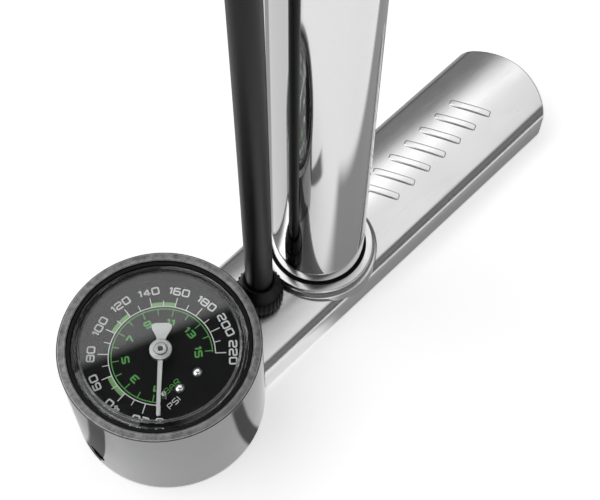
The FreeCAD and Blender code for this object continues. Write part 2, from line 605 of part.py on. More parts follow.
def sector_gear():
    teeth = int(number("sector_teeth"))
    low, high = number("sector_low"), number("sector_high")
    root, made = toothed(teeth, low, high, -9, 1)
    hub = number("sector_hub")
    pitch = 360 / teeth
    first, last = math.radians(-9.6 * pitch), math.radians(1.6 * pitch)
    middle = (first + last) / 2

    def rim(angle):
        return FreeCAD.Vector(root * math.cos(angle), root * math.sin(angle), low)

    side = FreeCAD.Vector(hub * math.cos(last + 1.2), hub * math.sin(last + 1.2), low)
    other = FreeCAD.Vector(hub * math.cos(first - 1.2), hub * math.sin(first - 1.2), low)
    edges = [Part.LineSegment(other, rim(first)), Part.Arc(rim(first), rim(middle), rim(last)),
             Part.LineSegment(rim(last), side), Part.LineSegment(side, other)]
    web = Part.Face(Part.Wire([e.toShape() for e in edges])).extrude(
        FreeCAD.Vector(0, 0, high - low))
    boss = Part.makeCylinder(hub, high - low, FreeCAD.Vector(0, 0, low))
    arbor = Part.makeCylinder(number("sector_arbor"),
                              number("top_plate_high - bottom_plate_low - 0.4"),
                              FreeCAD.Vector(0, 0, number("bottom_plate_low + 0.2")))
    gear = web.fuse([boss, arbor] + made)
    gear.rotate(FreeCAD.Vector(), FreeCAD.Vector(0, 0, 1), to_pinion)
    pin = Part.makeCylinder(number("link_pin"), number("sector_high - link_low"),
                            FreeCAD.Vector(*TAIL_OFFSET, number("link_low")))
    return gear.fuse(pin).removeSplitter()


sub_part("sector_gear", plain(sector_gear(), *PIVOT_PLACE))


def gauge_link():
    """A flat bar with an eye round the sector's pin and an eye at the tube's tip."""
    low, thick = number("link_low"), number("link_high - link_low")
    start, end = FreeCAD.Vector(*TAIL, low), FreeCAD.Vector(*TUBE_TIP, low)
    run = end - start
    half = number("link_half_width")
    bar = Part.makeBox(run.Length, 1.4 * half, thick, FreeCAD.Vector(0, -0.7 * half, 0))
    bar.rotate(FreeCAD.Vector(), FreeCAD.Vector(0, 0, 1), math.degrees(math.atan2(run.y, run.x)))
    bar.translate(start)
    solid = bar.fuse([Part.makeCylinder(half, thick, end),
                      Part.makeCylinder(half, thick, start)])
    return solid.cut([Part.makeCylinder(number("link_pin_hole"), 3 * thick,
                                        place - FreeCAD.Vector(0, 0, thick))
                      for place in (start, end)]).removeSplitter()


sub_part("gauge_link", plain(gauge_link()))


def bourdon_tube():
    """A flattened tube bent into a C, open at its root and closed at its tip."""
    radius, half = number("tube_radius"), number("tube_half_thickness")
    low, high, wall = number("tube_low"), number("tube_high"), number("tube_wall")
    root, tip = number("tube_root"), number("tube_tip")

    def ring(inset, start, end):
        corners = [FreeCAD.Vector(radius + x, 0, z) for x, z in (
            (inset - half, low + inset), (half - inset, low + inset),
            (half - inset, high - inset), (inset - half, high - inset),
            (inset - half, low + inset))]
        solid = Part.Face(Part.makePolygon(corners)).revolve(
            FreeCAD.Vector(), FreeCAD.Vector(0, 0, 1), end - start)
        solid.rotate(FreeCAD.Vector(), FreeCAD.Vector(0, 0, 1), start)
        return solid

    tube = ring(0, root, tip).cut(ring(wall, root - 1, tip - 2))
    lug = Part.makeCylinder(1.3, number("link_low - 0.1") - low,
                            FreeCAD.Vector(radius * math.cos(tip_angle),
                                           radius * math.sin(tip_angle), low))
    pin = Part.makeCylinder(number("link_pin"), number("link_high + 0.2") - low,
                            FreeCAD.Vector(radius * math.cos(tip_angle),
                                           radius * math.sin(tip_angle), low))
    return tube.fuse([lug, pin]).removeSplitter()


sub_part("bourdon_tube", plain(bourdon_tube(), *CENTRE))

PILLARS = [(f"pod_x + {x}", f"{y}") for x, y in ((-12.0, 10.0), (17.0, 8.0), (-8.0, -19.0))]
SOCKET_SCREWS = [("pod_x + socket_screw_x", f"{side} * socket_screw_y") for side in ("1", "-1")]
sub_part("movement_bottom_plate", cut(
    rod("movement_radius", "bottom_plate_low", "bottom_plate_high", "pod_x"),
    rod("tip_clearance", "0", "pod_top", f"{TUBE_TIP[0]}", f"{TUBE_TIP[1]}"),
    rod("pivot_hole", "0", "pod_top", "pod_x"),
    rod("sector_arbor + 0.05", "0", "pod_top", *PIVOT),
    *[rod("pillar_screw_bore", "0", "pod_top", x, y) for x, y in PILLARS],
    *[rod("socket_screw_radius + 0.1", "0", "pod_top", x, y) for x, y in SOCKET_SCREWS],
))

sub_part("movement_top_plate", cut(
    rod("movement_radius", "top_plate_low", "top_plate_high", "pod_x"),
    rod("pivot_hole", "0", "pod_top", "pod_x"),
    rod("sector_arbor + 0.05", "0", "pod_top", *PIVOT),
    *[rod("pillar_screw_bore", "0", "pod_top", x, y) for x, y in PILLARS],
    *[rod("dial_post_bore", "0", "pod_top", x, y) for x, y in DIAL_SCREWS],
))

sub_part("movement_pillars", group(*[
    cut(rod("pillar_radius", "bottom_plate_high", "top_plate_low", x, y),
        rod("pillar_screw_bore", "0", "pod_top", x, y))
    for x, y in PILLARS
]))

sub_part("gauge_socket", cut(
    joined(block(("pod_x + socket_near", "pod_x + socket_far"), ("-socket_half", "socket_half"),
                 ("socket_low", "socket_high")),
           rod("socket_stem", "manifold_high + 0.05", "socket_low + 0.1", stem_x, stem_y),
           rod("socket_nipple", "socket_nipple_low", "socket_low", stem_x, stem_y)),
    rod("socket_bore", "0", "socket_bore_height + 0.5", stem_x, stem_y),
    rod("socket_bore * 0.9", "bore_y - 1.5", "socket_half + 1", "pod_x + tube_radius",
        "socket_bore_height", "y"),
    rod("socket_bore * 0.8", "gauge_port_x", "pod_x + tube_radius", "bore_y",
        "socket_bore_height", "x"),
    *[rod("socket_screw_radius", "socket_screw_low", "pod_top", x, y) for x, y in SOCKET_SCREWS],
))

pillar_screws = [
    joined(rod("pillar_screw_head", "top_plate_high", "top_plate_high + pillar_screw_rise", x, y),
           rod("pillar_screw_radius", "top_plate_low - pillar_screw_depth",
               "top_plate_high + 0.1", x, y))
    for x, y in PILLARS
]
socket_screws = [
    joined(rod("socket_screw_head", "bottom_plate_high", "bottom_plate_high + socket_screw_rise",
               x, y),
           rod("socket_screw_radius", "socket_screw_low", "bottom_plate_high + 0.1", x, y))
    for x, y in SOCKET_SCREWS
]
sub_part("movement_screws", group(*pillar_screws, *socket_screws))

# ---------------------------------------------------------------- air manifold
# One long bore joins the barrel's chamber, the hose's port and the gauge's port.
sub_part("air_manifold", cut(
    block(("manifold_near", "manifold_far"), ("-manifold_half", "manifold_half"),
          ("manifold_low", "manifold_high")),
    rod("boss_hole", "chamber_low", "beam_crown"),
    rod("fitting_hole", "chamber_low", "beam_crown", "hose_x"),
    rod("bore_radius", "manifold_near - 1", "0", "bore_y", "bore_z", "x"),
    rod("gauge_port_radius", "bore_z", "beam_crown", "gauge_port_x", "bore_y"),
    rod("bolt_radius + 0.05", "manifold_near - 1", "bolt_end_x + 1", "0", "bolt_height", "x"),
))

sub_part("bore_plug", rod("bore_radius", "manifold_near", "manifold_near + bore_plug_length",
                          "bore_y", "bore_z", "x"))

# ---------------------------------------------------------------- barrel foot and check valve
sub_part("barrel_base_plug", turned([
    ("valve_cavity", "boss_low"), ("boss_radius", "boss_low"), ("boss_radius", "flange_low"),
    ("flange_radius", "flange_low"), ("flange_radius", "flange_high"),
    ("plug_radius", "flange_high"), ("plug_radius", "plug_groove_low"),
    ("plug_groove", "plug_groove_low"), ("plug_groove", "plug_groove_high"),
    ("plug_radius", "plug_groove_high"), ("plug_radius", "plug_top - 1"),
    ("plug_radius - 1", "plug_top"), ("valve_port", "plug_top"), ("valve_port", "valve_seat"),
    ("valve_cavity", "valve_seat")]))

sub_part("plug_seal", cut(rod("barrel_bore", "plug_seal_low", "plug_seal_high"),
                          rod("plug_groove", "0", "plug_top")))

ball = doc.addObject("Part::Sphere", "ball")
bind(ball, Radius="ball_radius")
sub_part("check_ball", move(ball, z="ball_height"))


def check_spring():
    """A helix of round wire, swept, between the chamber's floor and the ball."""
    wire_radius, radius = number("spring_wire"), number("spring_radius")
    low, high = number("spring_low"), number("spring_high")
    path = Part.makeHelix((high - low) / number("spring_turns"), high - low, radius)
    ring = Part.Wire([Part.Circle(FreeCAD.Vector(radius, 0, 0), FreeCAD.Vector(0, 1, 0),
                                  wire_radius).toShape()])
    return Part.Wire(path).makePipeShell([ring], True, True)


sub_part("check_spring", plain(check_spring(), z=number("spring_low")))

# The collar's underside follows the beam, so it is cut by the beam's outer shape.
collar_ring = turned([
    ("collar_bore", "collar_low"), ("collar_radius", "collar_low"),
    ("collar_radius", "collar_skirt_top"), ("collar_step_radius", "collar_step_top"),
    ("collar_top_radius", "collar_step_top + 0.2"), ("collar_top_radius", "collar_top - 0.3"),
    ("collar_top_radius - 0.3", "collar_top"), ("collar_seal_radius", "collar_top"),
    ("collar_seal_radius", "collar_seal_low"), ("collar_bore", "collar_seal_low")])
sub_part("barrel_collar", cut(collar_ring, plain(beam_envelope())))

sub_part("collar_seal", cut(
    rod("collar_seal_radius - 0.03", "collar_seal_low + 0.02", "collar_seal_top"),
    rod("barrel_radius + 0.02", "0", "plug_top")))

# ---------------------------------------------------------------- barrel and top cap
sub_part("barrel", cut(rod("barrel_radius", "barrel_low", "barrel_high"),
                       rod("barrel_bore", "0", "barrel_high + 1")))

sub_part("top_cap", turned([
    ("cap_skirt_bore", "cap_low"), ("cap_radius - 0.8", "cap_low"), ("cap_radius", "cap_low + 0.8"),
    ("cap_radius", "cap_high - cap_chamfer"), ("cap_radius - cap_chamfer", "cap_high"),
    ("cap_bore", "cap_high"), ("cap_bore", "cap_step"), ("cap_skirt_bore", "cap_step")]))

sub_part("cap_bush", turned([
    ("bush_bore", "bush_low"), ("bush_radius", "bush_low"), ("bush_radius", "cap_high + 0.05"),
    ("bush_flange_radius", "cap_high + 0.05"), ("bush_flange_radius", "bush_high - 0.6"),
    ("bush_flange_radius - 0.6", "bush_high"), ("bush_bore", "bush_high")]))

# ---------------------------------------------------------------- piston
sub_part("piston_head", turned([
    ("piston_bore", "piston_low"), ("piston_radius", "piston_low"),
    ("piston_radius", "seal_groove_low"), ("seal_groove", "seal_groove_low"),
    ("seal_groove", "seal_groove_high"), ("piston_radius", "seal_groove_high"),
    ("piston_radius", "ring_groove_low"), ("ring_groove", "ring_groove_low"),
    ("ring_groove", "ring_groove_high"), ("piston_radius", "ring_groove_high"),
    ("piston_radius", "piston_high"), ("piston_bore", "piston_high")]))

sub_part("piston_seal", cut(rod("seal_radius", "seal_low", "seal_high"),
                            rod("seal_groove", "0", "piston_high")))
sub_part("piston_wear_ring", cut(rod("ring_radius", "ring_low", "ring_high"),
                                 rod("ring_groove", "0", "piston_high")))

sub_part("piston_rod", cut(
    turned([
        ("rod_bolt_bore", "rod_low"), ("rod_stub", "rod_low"), ("rod_stub", "rod_shoulder"),
        ("rod_radius", "rod_shoulder"), ("rod_radius", "rod_high - 1"),
        ("rod_radius - 1", "rod_high"), ("0", "rod_high"), ("0", "rod_bolt_bore_top"),
        ("rod_bolt_bore", "rod_bolt_bore_top")]),
    rod("hub_pin_radius", "-hub_radius", "hub_radius", "0", "hub_pin_height", "y"),
))

sub_part("piston_bolt", cut(
    joined(rod("piston_bolt_head", "piston_bolt_low", "piston_bolt_high"),
           rod("piston_bolt_radius", "piston_bolt_low", "piston_bolt_top")),
    hexagon("piston_bolt_radius", "piston_bolt_low - 1", "piston_bolt_low + hex_depth"),
))

# ---------------------------------------------------------------- handle
sub_part("handle_bumper", cut(rod("bumper_radius", "bumper_low", "bumper_high"),
                              rod("bumper_bore", "0", "bumper_high + 1")))

hub_post = turned([
    ("0", "hub_low"), ("hub_foot_radius", "hub_low"), ("hub_foot_radius", "hub_foot_top"),
    ("hub_neck_radius", "hub_foot_top + 1.5"), ("hub_neck_radius", "hub_neck_top"),
    ("hub_radius", "bar_height - 4"), ("0", "bar_height - 4")])
hub_sleeve = turned([
    ("0", "-hub_half_length"), ("hub_radius - 1", "-hub_half_length"),
    ("hub_radius", "-hub_half_length + 1"), ("hub_radius", "hub_half_length - 1"),
    ("hub_radius - 1", "hub_half_length"), ("0", "hub_half_length")], "0", "bar_height", "x")
sub_part("handle_hub", cut(
    joined(hub_post, hub_sleeve),
    rod("bar_radius + 0.05", "-bar_half_length", "bar_half_length", "0", "bar_height", "x"),
    rod("rod_radius + 0.02", "hub_low - 1", "rod_high + 0.5"),
    rod("hub_pin_radius", "-hub_radius", "hub_radius", "0", "hub_pin_height", "y"),
))

sub_part("hub_pin", rod("hub_pin_radius", "-hub_pin_half_length", "hub_pin_half_length",
                        "0", "hub_pin_height", "y"))

sub_part("handle_bar", cut(
    rod("bar_radius", "-bar_half_length", "bar_half_length", "0", "bar_height", "x"),
    rod("bar_radius - bar_wall", "-bar_half_length - 1", "bar_half_length + 1",
        "0", "bar_height", "x")))


def grip(side):
    """A grip on one side of the hub; side is 1 or -1."""
    return turned([
        ("grip_bore", f"{side} * grip_inner_end"),
        ("grip_collar_radius", f"{side} * grip_inner_end"),
        ("grip_collar_radius", f"{side} * (grip_inner_end + grip_collar_length)"),
        ("grip_waist_radius", f"{side} * grip_waist_x"),
        ("(grip_waist_radius + 2 * grip_belly_radius) / 3",
         f"{side} * (grip_waist_x + grip_belly_x) / 2"),
        ("grip_belly_radius", f"{side} * grip_belly_x"),
        ("(grip_end_radius + 2 * grip_belly_radius) / 3",
         f"{side} * (grip_belly_x + grip_outer_end) / 2"),
        ("grip_end_radius", f"{side} * grip_outer_end"),
        ("grip_bore", f"{side} * grip_outer_end")], "0", "bar_height", "x")


def end_cap(side):
    """The cap that closes the bar's end beyond a grip."""
    return turned([
        ("0", f"{side} * end_cap_plug_start"),
        ("end_cap_plug", f"{side} * end_cap_plug_start"),
        ("end_cap_plug", f"{side} * end_cap_start"),
        ("end_cap_radius", f"{side} * end_cap_start"),
        ("end_cap_radius", f"{side} * (end_cap_end - end_cap_edge)"),
        ("end_cap_radius - end_cap_edge", f"{side} * end_cap_end"),
        ("0", f"{side} * end_cap_end")], "0", "bar_height", "x")


sub_part("far_grip", grip("1"))
sub_part("near_grip", grip("-1"))
sub_part("grip_end_caps", group(end_cap("1"), end_cap("-1")))

# ---------------------------------------------------------------- hose and its fitting
sub_part("hose_fitting", turned([
    ("fitting_bore", "fitting_low"), ("fitting_radius", "fitting_low"),
    ("fitting_radius", "fitting_flange_low"), ("fitting_flange_radius", "fitting_flange_low"),
    ("fitting_flange_radius", "fitting_flange_high"), ("fitting_barb", "fitting_flange_high"),
    ("fitting_barb", "hose_start"), ("fitting_bore", "hose_start")], "hose_x"))

nut_core = turned([
    ("nut_flange_bore", "nut_low"), ("nut_foot_radius", "nut_low"),
    ("nut_foot_radius", "nut_rib_low - 0.3"), ("nut_radius", "nut_rib_low"),
    ("nut_radius", "nut_rib_top"), ("nut_cone_radius", "nut_rib_top + 0.3"),
    ("nut_cone_radius", "nut_rib_top + 1.2"), ("nut_cone_top_radius", "nut_top"),
    ("nut_bore", "nut_top"), ("nut_bore", "nut_flange_top"),
    ("nut_flange_bore", "nut_flange_top")], "hose_x")
rib_count = int(number("nut_rib_count"))
nut_ribs = [
    rod("nut_rib_radius", "nut_rib_low", "nut_rib_top",
        *polar("nut_radius", 360 * i / rib_count, "hose_x"))
    for i in range(rib_count)
]
sub_part("hose_nut", joined(nut_core, *nut_ribs))

# The hose rises beside the barrel, bows out, lies over the hook behind the cap and comes
# down to the chuck's neck. The points are the route's corners.
HOSE_ROUTE = [
    (-30.5, 0.0, 24.2), (-30.5, 0.0, 165.0), (-32.0, 1.0, 307.0), (-47.0, 16.0, 420.0),
    (-63.0, 32.0, 506.0), (-51.0, 32.0, 543.0), (-19.5, 32.0, 566.0), (19.5, 32.0, 566.0),
    (51.0, 32.0, 543.0), (63.0, 32.0, 506.0), (61.0, 28.0, 431.0), (46.0, 12.0, 354.0),
    (34.5, 0.0, 287.0), (34.5, 0.0, 224.2),
]
ARC_SHARE = 0.45  # how much of the shorter run an arc takes up


def hose_tube():
    """A round bar along straight runs joined by tangent arcs; prints the arcs' radii."""
    corners = [FreeCAD.Vector(*point) for point in HOSE_ROUTE]
    edges, here, radii, length = [], corners[0], [], 0.0
    for before, corner, after in zip(corners, corners[1:], corners[2:]):
        arriving, leaving = corner - before, after - corner
        turn = arriving.getAngle(leaving)
        tangent = ARC_SHARE * min(arriving.Length, leaving.Length)
        radius = tangent / math.tan(turn / 2)
        radii.append(round(radius, 1))
        start = corner - arriving.normalize() * tangent
        end = corner + leaving.normalize() * tangent
        inwards = (leaving - arriving).normalize()
        middle = corner + inwards * (radius / math.cos(turn / 2) - radius)
        edges.append(Part.LineSegment(here, start).toShape())
        edges.append(Part.Arc(start, middle, end).toShape())
        length += (start - here).Length + radius * turn
        here = end
    edges.append(Part.LineSegment(here, corners[-1]).toShape())
    length += (corners[-1] - here).Length
    radius = number("hose_radius")
    ring = Part.Wire([Part.Circle(corners[0], corners[1] - corners[0], radius).toShape()])
    tube = Part.Wire(edges).makePipeShell([ring], True, False)
    expected = math.pi * radius ** 2 * length
    print("hose: arc radii", radii, "length", round(length, 1),
          "volume ratio", round(tube.Volume / expected, 5))
    return tube


sub_part("hose", plain(hose_tube()))


def barrel_band(low, high):
    """The ring of a bracket that is clamped round the barrel."""
    return rod("band_radius", low, high), rod("band_bore", f"{low} - 1", f"{high} + 1")


hook_ring, hook_ring_bore = barrel_band("hook_band_low", "hook_band_high")
hook_arm = block(("-hook_half_width", "hook_half_width"), ("hook_arm_near", "hook_arm_far"),
                 ("hook_band_low", "hook_band_high"))
hook_post = block(("-hook_half_width", "hook_half_width"), ("hook_post_near", "hook_arm_far"),
                  ("hook_band_high - 1", "hook_height - hook_bore - 1"))
hook_saddle = rod("hook_radius", "-hook_half_width", "hook_half_width", "hook_y", "hook_height",
                  "x")
hook_above = block(("-hook_half_width - 1", "hook_half_width + 1"),
                   ("hook_y - hook_radius - 1", "hook_y"), ("hook_height", "hook_height + 20"))
hook_outer = block(("-hook_half_width - 1", "hook_half_width + 1"),
                   ("hook_y - 1", "hook_y + hook_radius + 1"),
                   ("hook_height + hook_lip", "hook_height + 20"))
sub_part("hose_hook", cut(
    joined(hook_ring, hook_arm, hook_post, hook_saddle),
    hook_ring_bore, hook_above, hook_outer,
    rod("hook_bore", "-hook_half_width - 1", "hook_half_width + 1", "hook_y", "hook_height", "x"),
    block(("-hook_half_width - 1", "hook_half_width + 1"), ("hook_y - hook_bore",
          "hook_y + hook_bore"), ("hook_height", "hook_height + 20")),
))

# ---------------------------------------------------------------- chuck
# The head lies along Y: the valve goes in at its +Y mouth, and the lever's cam at its other
# end presses a plunger against the gasket. The neck joins it to the hose.
sub_part("chuck_head", cut(
    joined(rod("head_radius", "head_back", "head_front", "chuck_x", "chuck_z", "y"),
           rod("neck_radius", "chuck_z", "neck_top", "chuck_x")),
    rod("head_bore", "head_bore_back", "head_front + 1", "chuck_x", "chuck_z", "y"),
    rod("neck_bore", "chuck_z", "neck_top + 1", "chuck_x"),
    block(("chuck_x - slot_half", "chuck_x + slot_half"), ("head_back - 1", "slot_front"),
          ("chuck_z - 20", "chuck_z + 20")),
    rod("lever_pin_radius", "chuck_x - 12", "chuck_x + 12", "pivot_y", "chuck_z", "x"),
))

chuck_cap = turn_to(turned([
    ("mouth_radius", "0"), ("mouth_cap_radius", "0"),
    ("mouth_cap_radius", "mouth_cap_front - mouth_cap_start - 1"),
    ("mouth_cap_radius - 1", "mouth_cap_front - mouth_cap_start"),
    ("mouth_radius", "mouth_cap_front - mouth_cap_start")]), "y")
sub_part("chuck_cap", move(chuck_cap, "chuck_x", "mouth_cap_start", "chuck_z"))

sub_part("chuck_gasket", cut(
    rod("gasket_outer", "gasket_start", "gasket_end", "chuck_x", "chuck_z", "y"),
    rod("gasket_hole", "gasket_start - 1", "gasket_end + 1", "chuck_x", "chuck_z", "y")))

sub_part("chuck_plunger", cut(
    rod("plunger_radius", "plunger_back", "plunger_front", "chuck_x", "chuck_z", "y"),
    cut(rod("head_radius", "plunger_waist_back", "plunger_waist_front", "chuck_x", "chuck_z",
            "y"),
        rod("plunger_waist", "plunger_back", "plunger_front", "chuck_x", "chuck_z", "y")),
    rod("plunger_bore", "plunger_waist_back", "plunger_front + 1", "chuck_x", "chuck_z", "y"),
    rod("plunger_bore", "chuck_z - head_radius", "chuck_z + head_radius", "chuck_x",
        "(plunger_waist_back + plunger_waist_front) / 2"),
))

arm = doc.addObject("Part::Chamfer", "lever_arm")
arm.Base = block(("chuck_x - lever_arm_half", "chuck_x + lever_arm_half"),
                 ("lever_far", "lever_near"), ("lever_arm_low", "lever_arm_high"))
doc.recompute()
far_edges = [i + 1 for i, edge in enumerate(arm.Base.Shape.Edges)
             if edge.BoundBox.YMax < number("lever_far") + 0.01]
arm.Edges = [(i, number("lever_edge"), number("lever_edge")) for i in far_edges]
sub_part("chuck_lever", cut(
    joined(rod("cam_radius", "chuck_x - lever_half", "chuck_x + lever_half",
               "pivot_y - cam_offset", "chuck_z - cam_offset", "x"),
           block(("chuck_x - lever_half", "chuck_x + lever_half"),
                 ("lever_near - 0.5", "pivot_y - 3"), ("lever_link_low", "lever_link_high")),
           arm),
    rod("lever_bore", "chuck_x - 12", "chuck_x + 12", "pivot_y", "chuck_z", "x"),
))

sub_part("lever_pin", rod("lever_pin_radius", "chuck_x - lever_pin_half",
                          "chuck_x + lever_pin_half", "pivot_y", "chuck_z", "x"))

sub_part("hose_ferrule", cut(rod("ferrule_radius", "ferrule_low", "ferrule_high", "chuck_x"),
                             rod("ferrule_bore", "0", "ferrule_high + 1", "chuck_x")))

dock_ring, dock_ring_bore = barrel_band("dock_low", "dock_high")
sub_part("chuck_dock", cut(
    joined(dock_ring, block(("dock_arm_near", "dock_arm_far"), ("-dock_arm_half",
           "dock_arm_half"), ("dock_low", "dock_high")),
           rod("dock_clip_radius", "dock_low", "dock_high", "chuck_x")),
    dock_ring_bore,
    rod("dock_clip_bore", "dock_low - 1", "dock_high + 1", "chuck_x"),
    block(("chuck_x + dock_mouth_start", "chuck_x + dock_mouth_start + dock_mouth_length"),
          ("-dock_mouth_half", "dock_mouth_half"), ("dock_low - 1", "dock_high + 1")),
))

# ---------------------------------------------------------------- check and write
doc.recompute()
bad = [thing.Label for thing in doc.Objects if {"Invalid", "Error"} & set(thing.State)]
bad += [part.Label for part in SUB_PARTS if part.Shape.isNull() or not part.Shape.isValid()]
bad += [part.Label for part in SUB_PARTS if not part.Shape.isNull() and part.Shape.Volume <= 0]
if bad:
    raise SystemExit(f"these objects failed: {sorted(set(bad))}")

os.makedirs("parts", exist_ok=True)
for part in SUB_PARTS:
    part.Shape.exportStep(f"parts/{part.Label}.step")
print(len(SUB_PARTS), "sub-parts written")
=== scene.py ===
import math

import bmesh
import bpy
import numpy as np
from mathutils import Matrix


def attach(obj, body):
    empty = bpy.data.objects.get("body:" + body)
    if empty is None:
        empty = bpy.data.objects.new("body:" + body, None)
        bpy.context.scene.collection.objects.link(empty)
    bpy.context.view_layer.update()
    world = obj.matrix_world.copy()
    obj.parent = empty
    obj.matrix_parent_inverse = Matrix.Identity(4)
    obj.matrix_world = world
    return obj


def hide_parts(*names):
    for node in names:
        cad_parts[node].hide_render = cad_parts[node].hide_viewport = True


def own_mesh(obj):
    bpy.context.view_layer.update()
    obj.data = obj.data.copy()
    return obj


# A floor bike pump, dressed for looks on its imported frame. Metres in the frame, millimetres in
# the sections' own sizes. The origin is on the floor on the barrel's axis, with +Z up and +X
# from the gauge towards the foot's far end.
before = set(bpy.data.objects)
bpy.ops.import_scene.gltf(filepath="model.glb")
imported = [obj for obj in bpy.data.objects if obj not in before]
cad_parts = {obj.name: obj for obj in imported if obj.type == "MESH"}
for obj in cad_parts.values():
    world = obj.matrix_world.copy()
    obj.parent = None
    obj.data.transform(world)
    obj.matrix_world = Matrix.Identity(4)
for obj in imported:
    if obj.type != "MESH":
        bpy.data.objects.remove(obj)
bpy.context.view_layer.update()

# ------------ camera, floor and lights
# A long lens looks steeply down past the gauge. The floor is a pale sheet in a dim grey room with
# bright lamp panels for polished metal to reflect. To the camera itself the room is plain white.
show = bpy.context.collection.objects.link
camera = bpy.data.objects.new("camera", bpy.data.cameras.new("camera"))
camera.data.lens = 79.31
camera.data.sensor_width = 36
camera.data.clip_start = 0.02
sight = (0.33366, 0.32170, -0.88610)
right = (0.70231, -0.71184, 0.00602)
up = (0.62883, 0.62433, 0.46345)
camera_place = (-0.17337, -0.15809, 0.46142)
camera.matrix_world = Matrix([
    [right[i], up[i], -sight[i], camera_place[i]] for i in range(3)] + [[0, 0, 0, 1]])
show(camera)
bpy.context.scene.camera = camera
bpy.context.scene.view_settings.view_transform = "Standard"


def placed(tree, kind, settings=(), **sockets):
    """A shader node, its settings, and values or links for its sockets; i0, i1 go by number."""
    made = tree.nodes.new("ShaderNode" + kind)
    for name, value in dict(settings).items():
        setattr(made, name, value)
    for name, value in sockets.items():
        numbered = name[0] == "i" and name[1:].isdigit()
        socket = made.inputs[int(name[1:]) if numbered else name.replace("_", " ")]
        if isinstance(value, bpy.types.NodeSocket):
            tree.links.new(value, socket)
        else:
            socket.default_value = value
    return made


def math_node(tree, operation, a, b=0.0, c=0.0):
    """One step of arithmetic on plain values or links."""
    return placed(tree, "Math", {"operation": operation}, i0=a, i1=b, i2=c).outputs[0]


def product(tree, a, b):
    return math_node(tree, "MULTIPLY", a, b)


def feed(tree, sockets, **values):
    """Links values to named sockets, with _ for a space."""
    for name, value in values.items():
        tree.links.new(value, sockets[name.replace("_", " ")])


def between(tree, factor, low, high):
    """factor from 0 to 1 carried to low..high."""
    return placed(tree, "MapRange", Value=factor, i3=low, i4=high).outputs[0]


def rising(tree, value, low, high, top=1.0):
    """0 up to low and top from high on, with a smooth step between them."""
    return placed(tree, "MapRange", {"interpolation_type": "SMOOTHSTEP"}, Value=value,
                  i1=low, i2=high, i4=top).outputs[0]


def mixed(tree, factor, first, second, **settings):
    """The first colour where factor is 0 and the second where it is 1."""
    return placed(tree, "MixRGB", settings, Fac=factor, Color1=first, Color2=second).outputs[0]


def length(tree, vector):
    """The root of the sum of x, y and z squared."""
    return placed(tree, "VectorMath", {"operation": "LENGTH"}, i0=vector).outputs["Value"]


def ramp(tree, value, *stops):
    """A colour ramp over value; each stop is (place, grey)."""
    made = placed(tree, "ValToRGB", i0=value)
    while len(made.color_ramp.elements) < len(stops):
        made.color_ramp.elements.new(0.5)
    for element, (place, grey) in zip(made.color_ramp.elements, stops):
        element.position = place
        element.color = (grey, grey, grey, 1)
    return made.outputs["Color"]


room = bpy.data.worlds.new("room")
room.use_nodes = True
tree = room.node_tree
tree.nodes.clear()
direction = placed(tree, "TexCoord").outputs["Generated"]
height = placed(tree, "SeparateXYZ", Vector=direction).outputs["Z"]
walls = ramp(tree, height, (0.0, 0.05), (0.25, 0.13), (0.5, 0.22), (0.75, 0.08), (1.0, 0.04))


def panel(walls, axis, low, high, strength, floor_share=0.0):
    """A lamp panel in the room: all directions whose share along the axis is past low, fading in
    up to high, and whose height is past floor_share. Where panels overlap, the brighter shows."""
    facing = placed(tree, "VectorMath", {"operation": "DOT_PRODUCT"}, i0=direction, i1=axis)
    edge = rising(tree, facing.outputs["Value"], low, high, strength)
    above = rising(tree, height, floor_share, floor_share + 0.10)
    return mixed(tree, 1.0, walls, product(tree, edge, above), blend_type="LIGHTEN")


walls = panel(walls, (0.3284, 0.8515, -0.4087), -0.004, 0.008, 1.5, 0.70)
walls = panel(walls, (1.0, 0.0, 0.0), 0.28, 0.32, 1.0, 0.74)
walls = panel(walls, (0.106, -0.290, 0.951), 0.93, 0.985, 0.85)
seen = mixed(tree, placed(tree, "LightPath").outputs["Is Camera Ray"], walls, (1, 1, 1, 1))
lit = placed(tree, "Background", Color=seen, Strength=1.0)
feed(tree, placed(tree, "OutputWorld").inputs, Surface=lit.outputs[0])
bpy.context.scene.world = room

sun = bpy.data.lights.new("soft overhead light", "SUN")
sun.energy = 1.0
sun.angle = math.radians(50)
sun_holder = bpy.data.objects.new("soft overhead light", sun)
sun_holder.rotation_euler = (math.radians(-18), math.radians(-24), 0)
show(sun_holder)

plain_floor = bpy.data.materials.new("pale floor")
plain_floor.use_nodes = True
tree = plain_floor.node_tree
floor_shader = tree.nodes["Principled BSDF"]
floor_shader.inputs["Roughness"].default_value = 0.85
floor_shader.inputs["Emission Color"].default_value = (1, 1, 1, 1)
spot = placed(tree, "SeparateXYZ", Vector=placed(tree, "TexCoord").outputs["Object"])


def past(value, edge, wide=0.008):
    """0 below the edge and 1 above it, with a soft step; a negative wide turns it round."""
    return rising(tree, value, edge - wide, edge + wide)


# the floor is pale to the eye; polished metal sees painted shade on it, dark patches seen only in
# reflections: one behind the pump, one to the right past a corner, and two bands close to the gauge, at
# angles round it in radians
floor_grey, reflected_shade_grey, floor_glow = (0.86, 0.86, 0.86, 1), (0.10, 0.10, 0.10, 1), 0.58
behind_edge, behind_dark = 0.0, 0.32
right_corner, right_dark = (-0.015, -0.075), 0.72
gauge_x, band_reach, band_dark = -0.0774, 0.062, 0.85
front_band_turns, left_band_turn = (-1.36, -1.14), 2.86
painted_shade = between(tree, past(spot.outputs["Y"], behind_edge, 0.012), 0.0, behind_dark)
beside = product(tree, past(spot.outputs["X"], right_corner[0]),
                 past(spot.outputs["Y"], right_corner[1]))
east = math_node(tree, "SUBTRACT", spot.outputs["X"], gauge_x)
turn = math_node(tree, "ARCTAN2", spot.outputs["Y"], east)
front = product(tree, past(turn, front_band_turns[0], 0.03), past(turn, front_band_turns[1], -0.03))
gauge_shade_bands = math_node(tree, "MAXIMUM", front, past(turn, left_band_turn, 0.05))
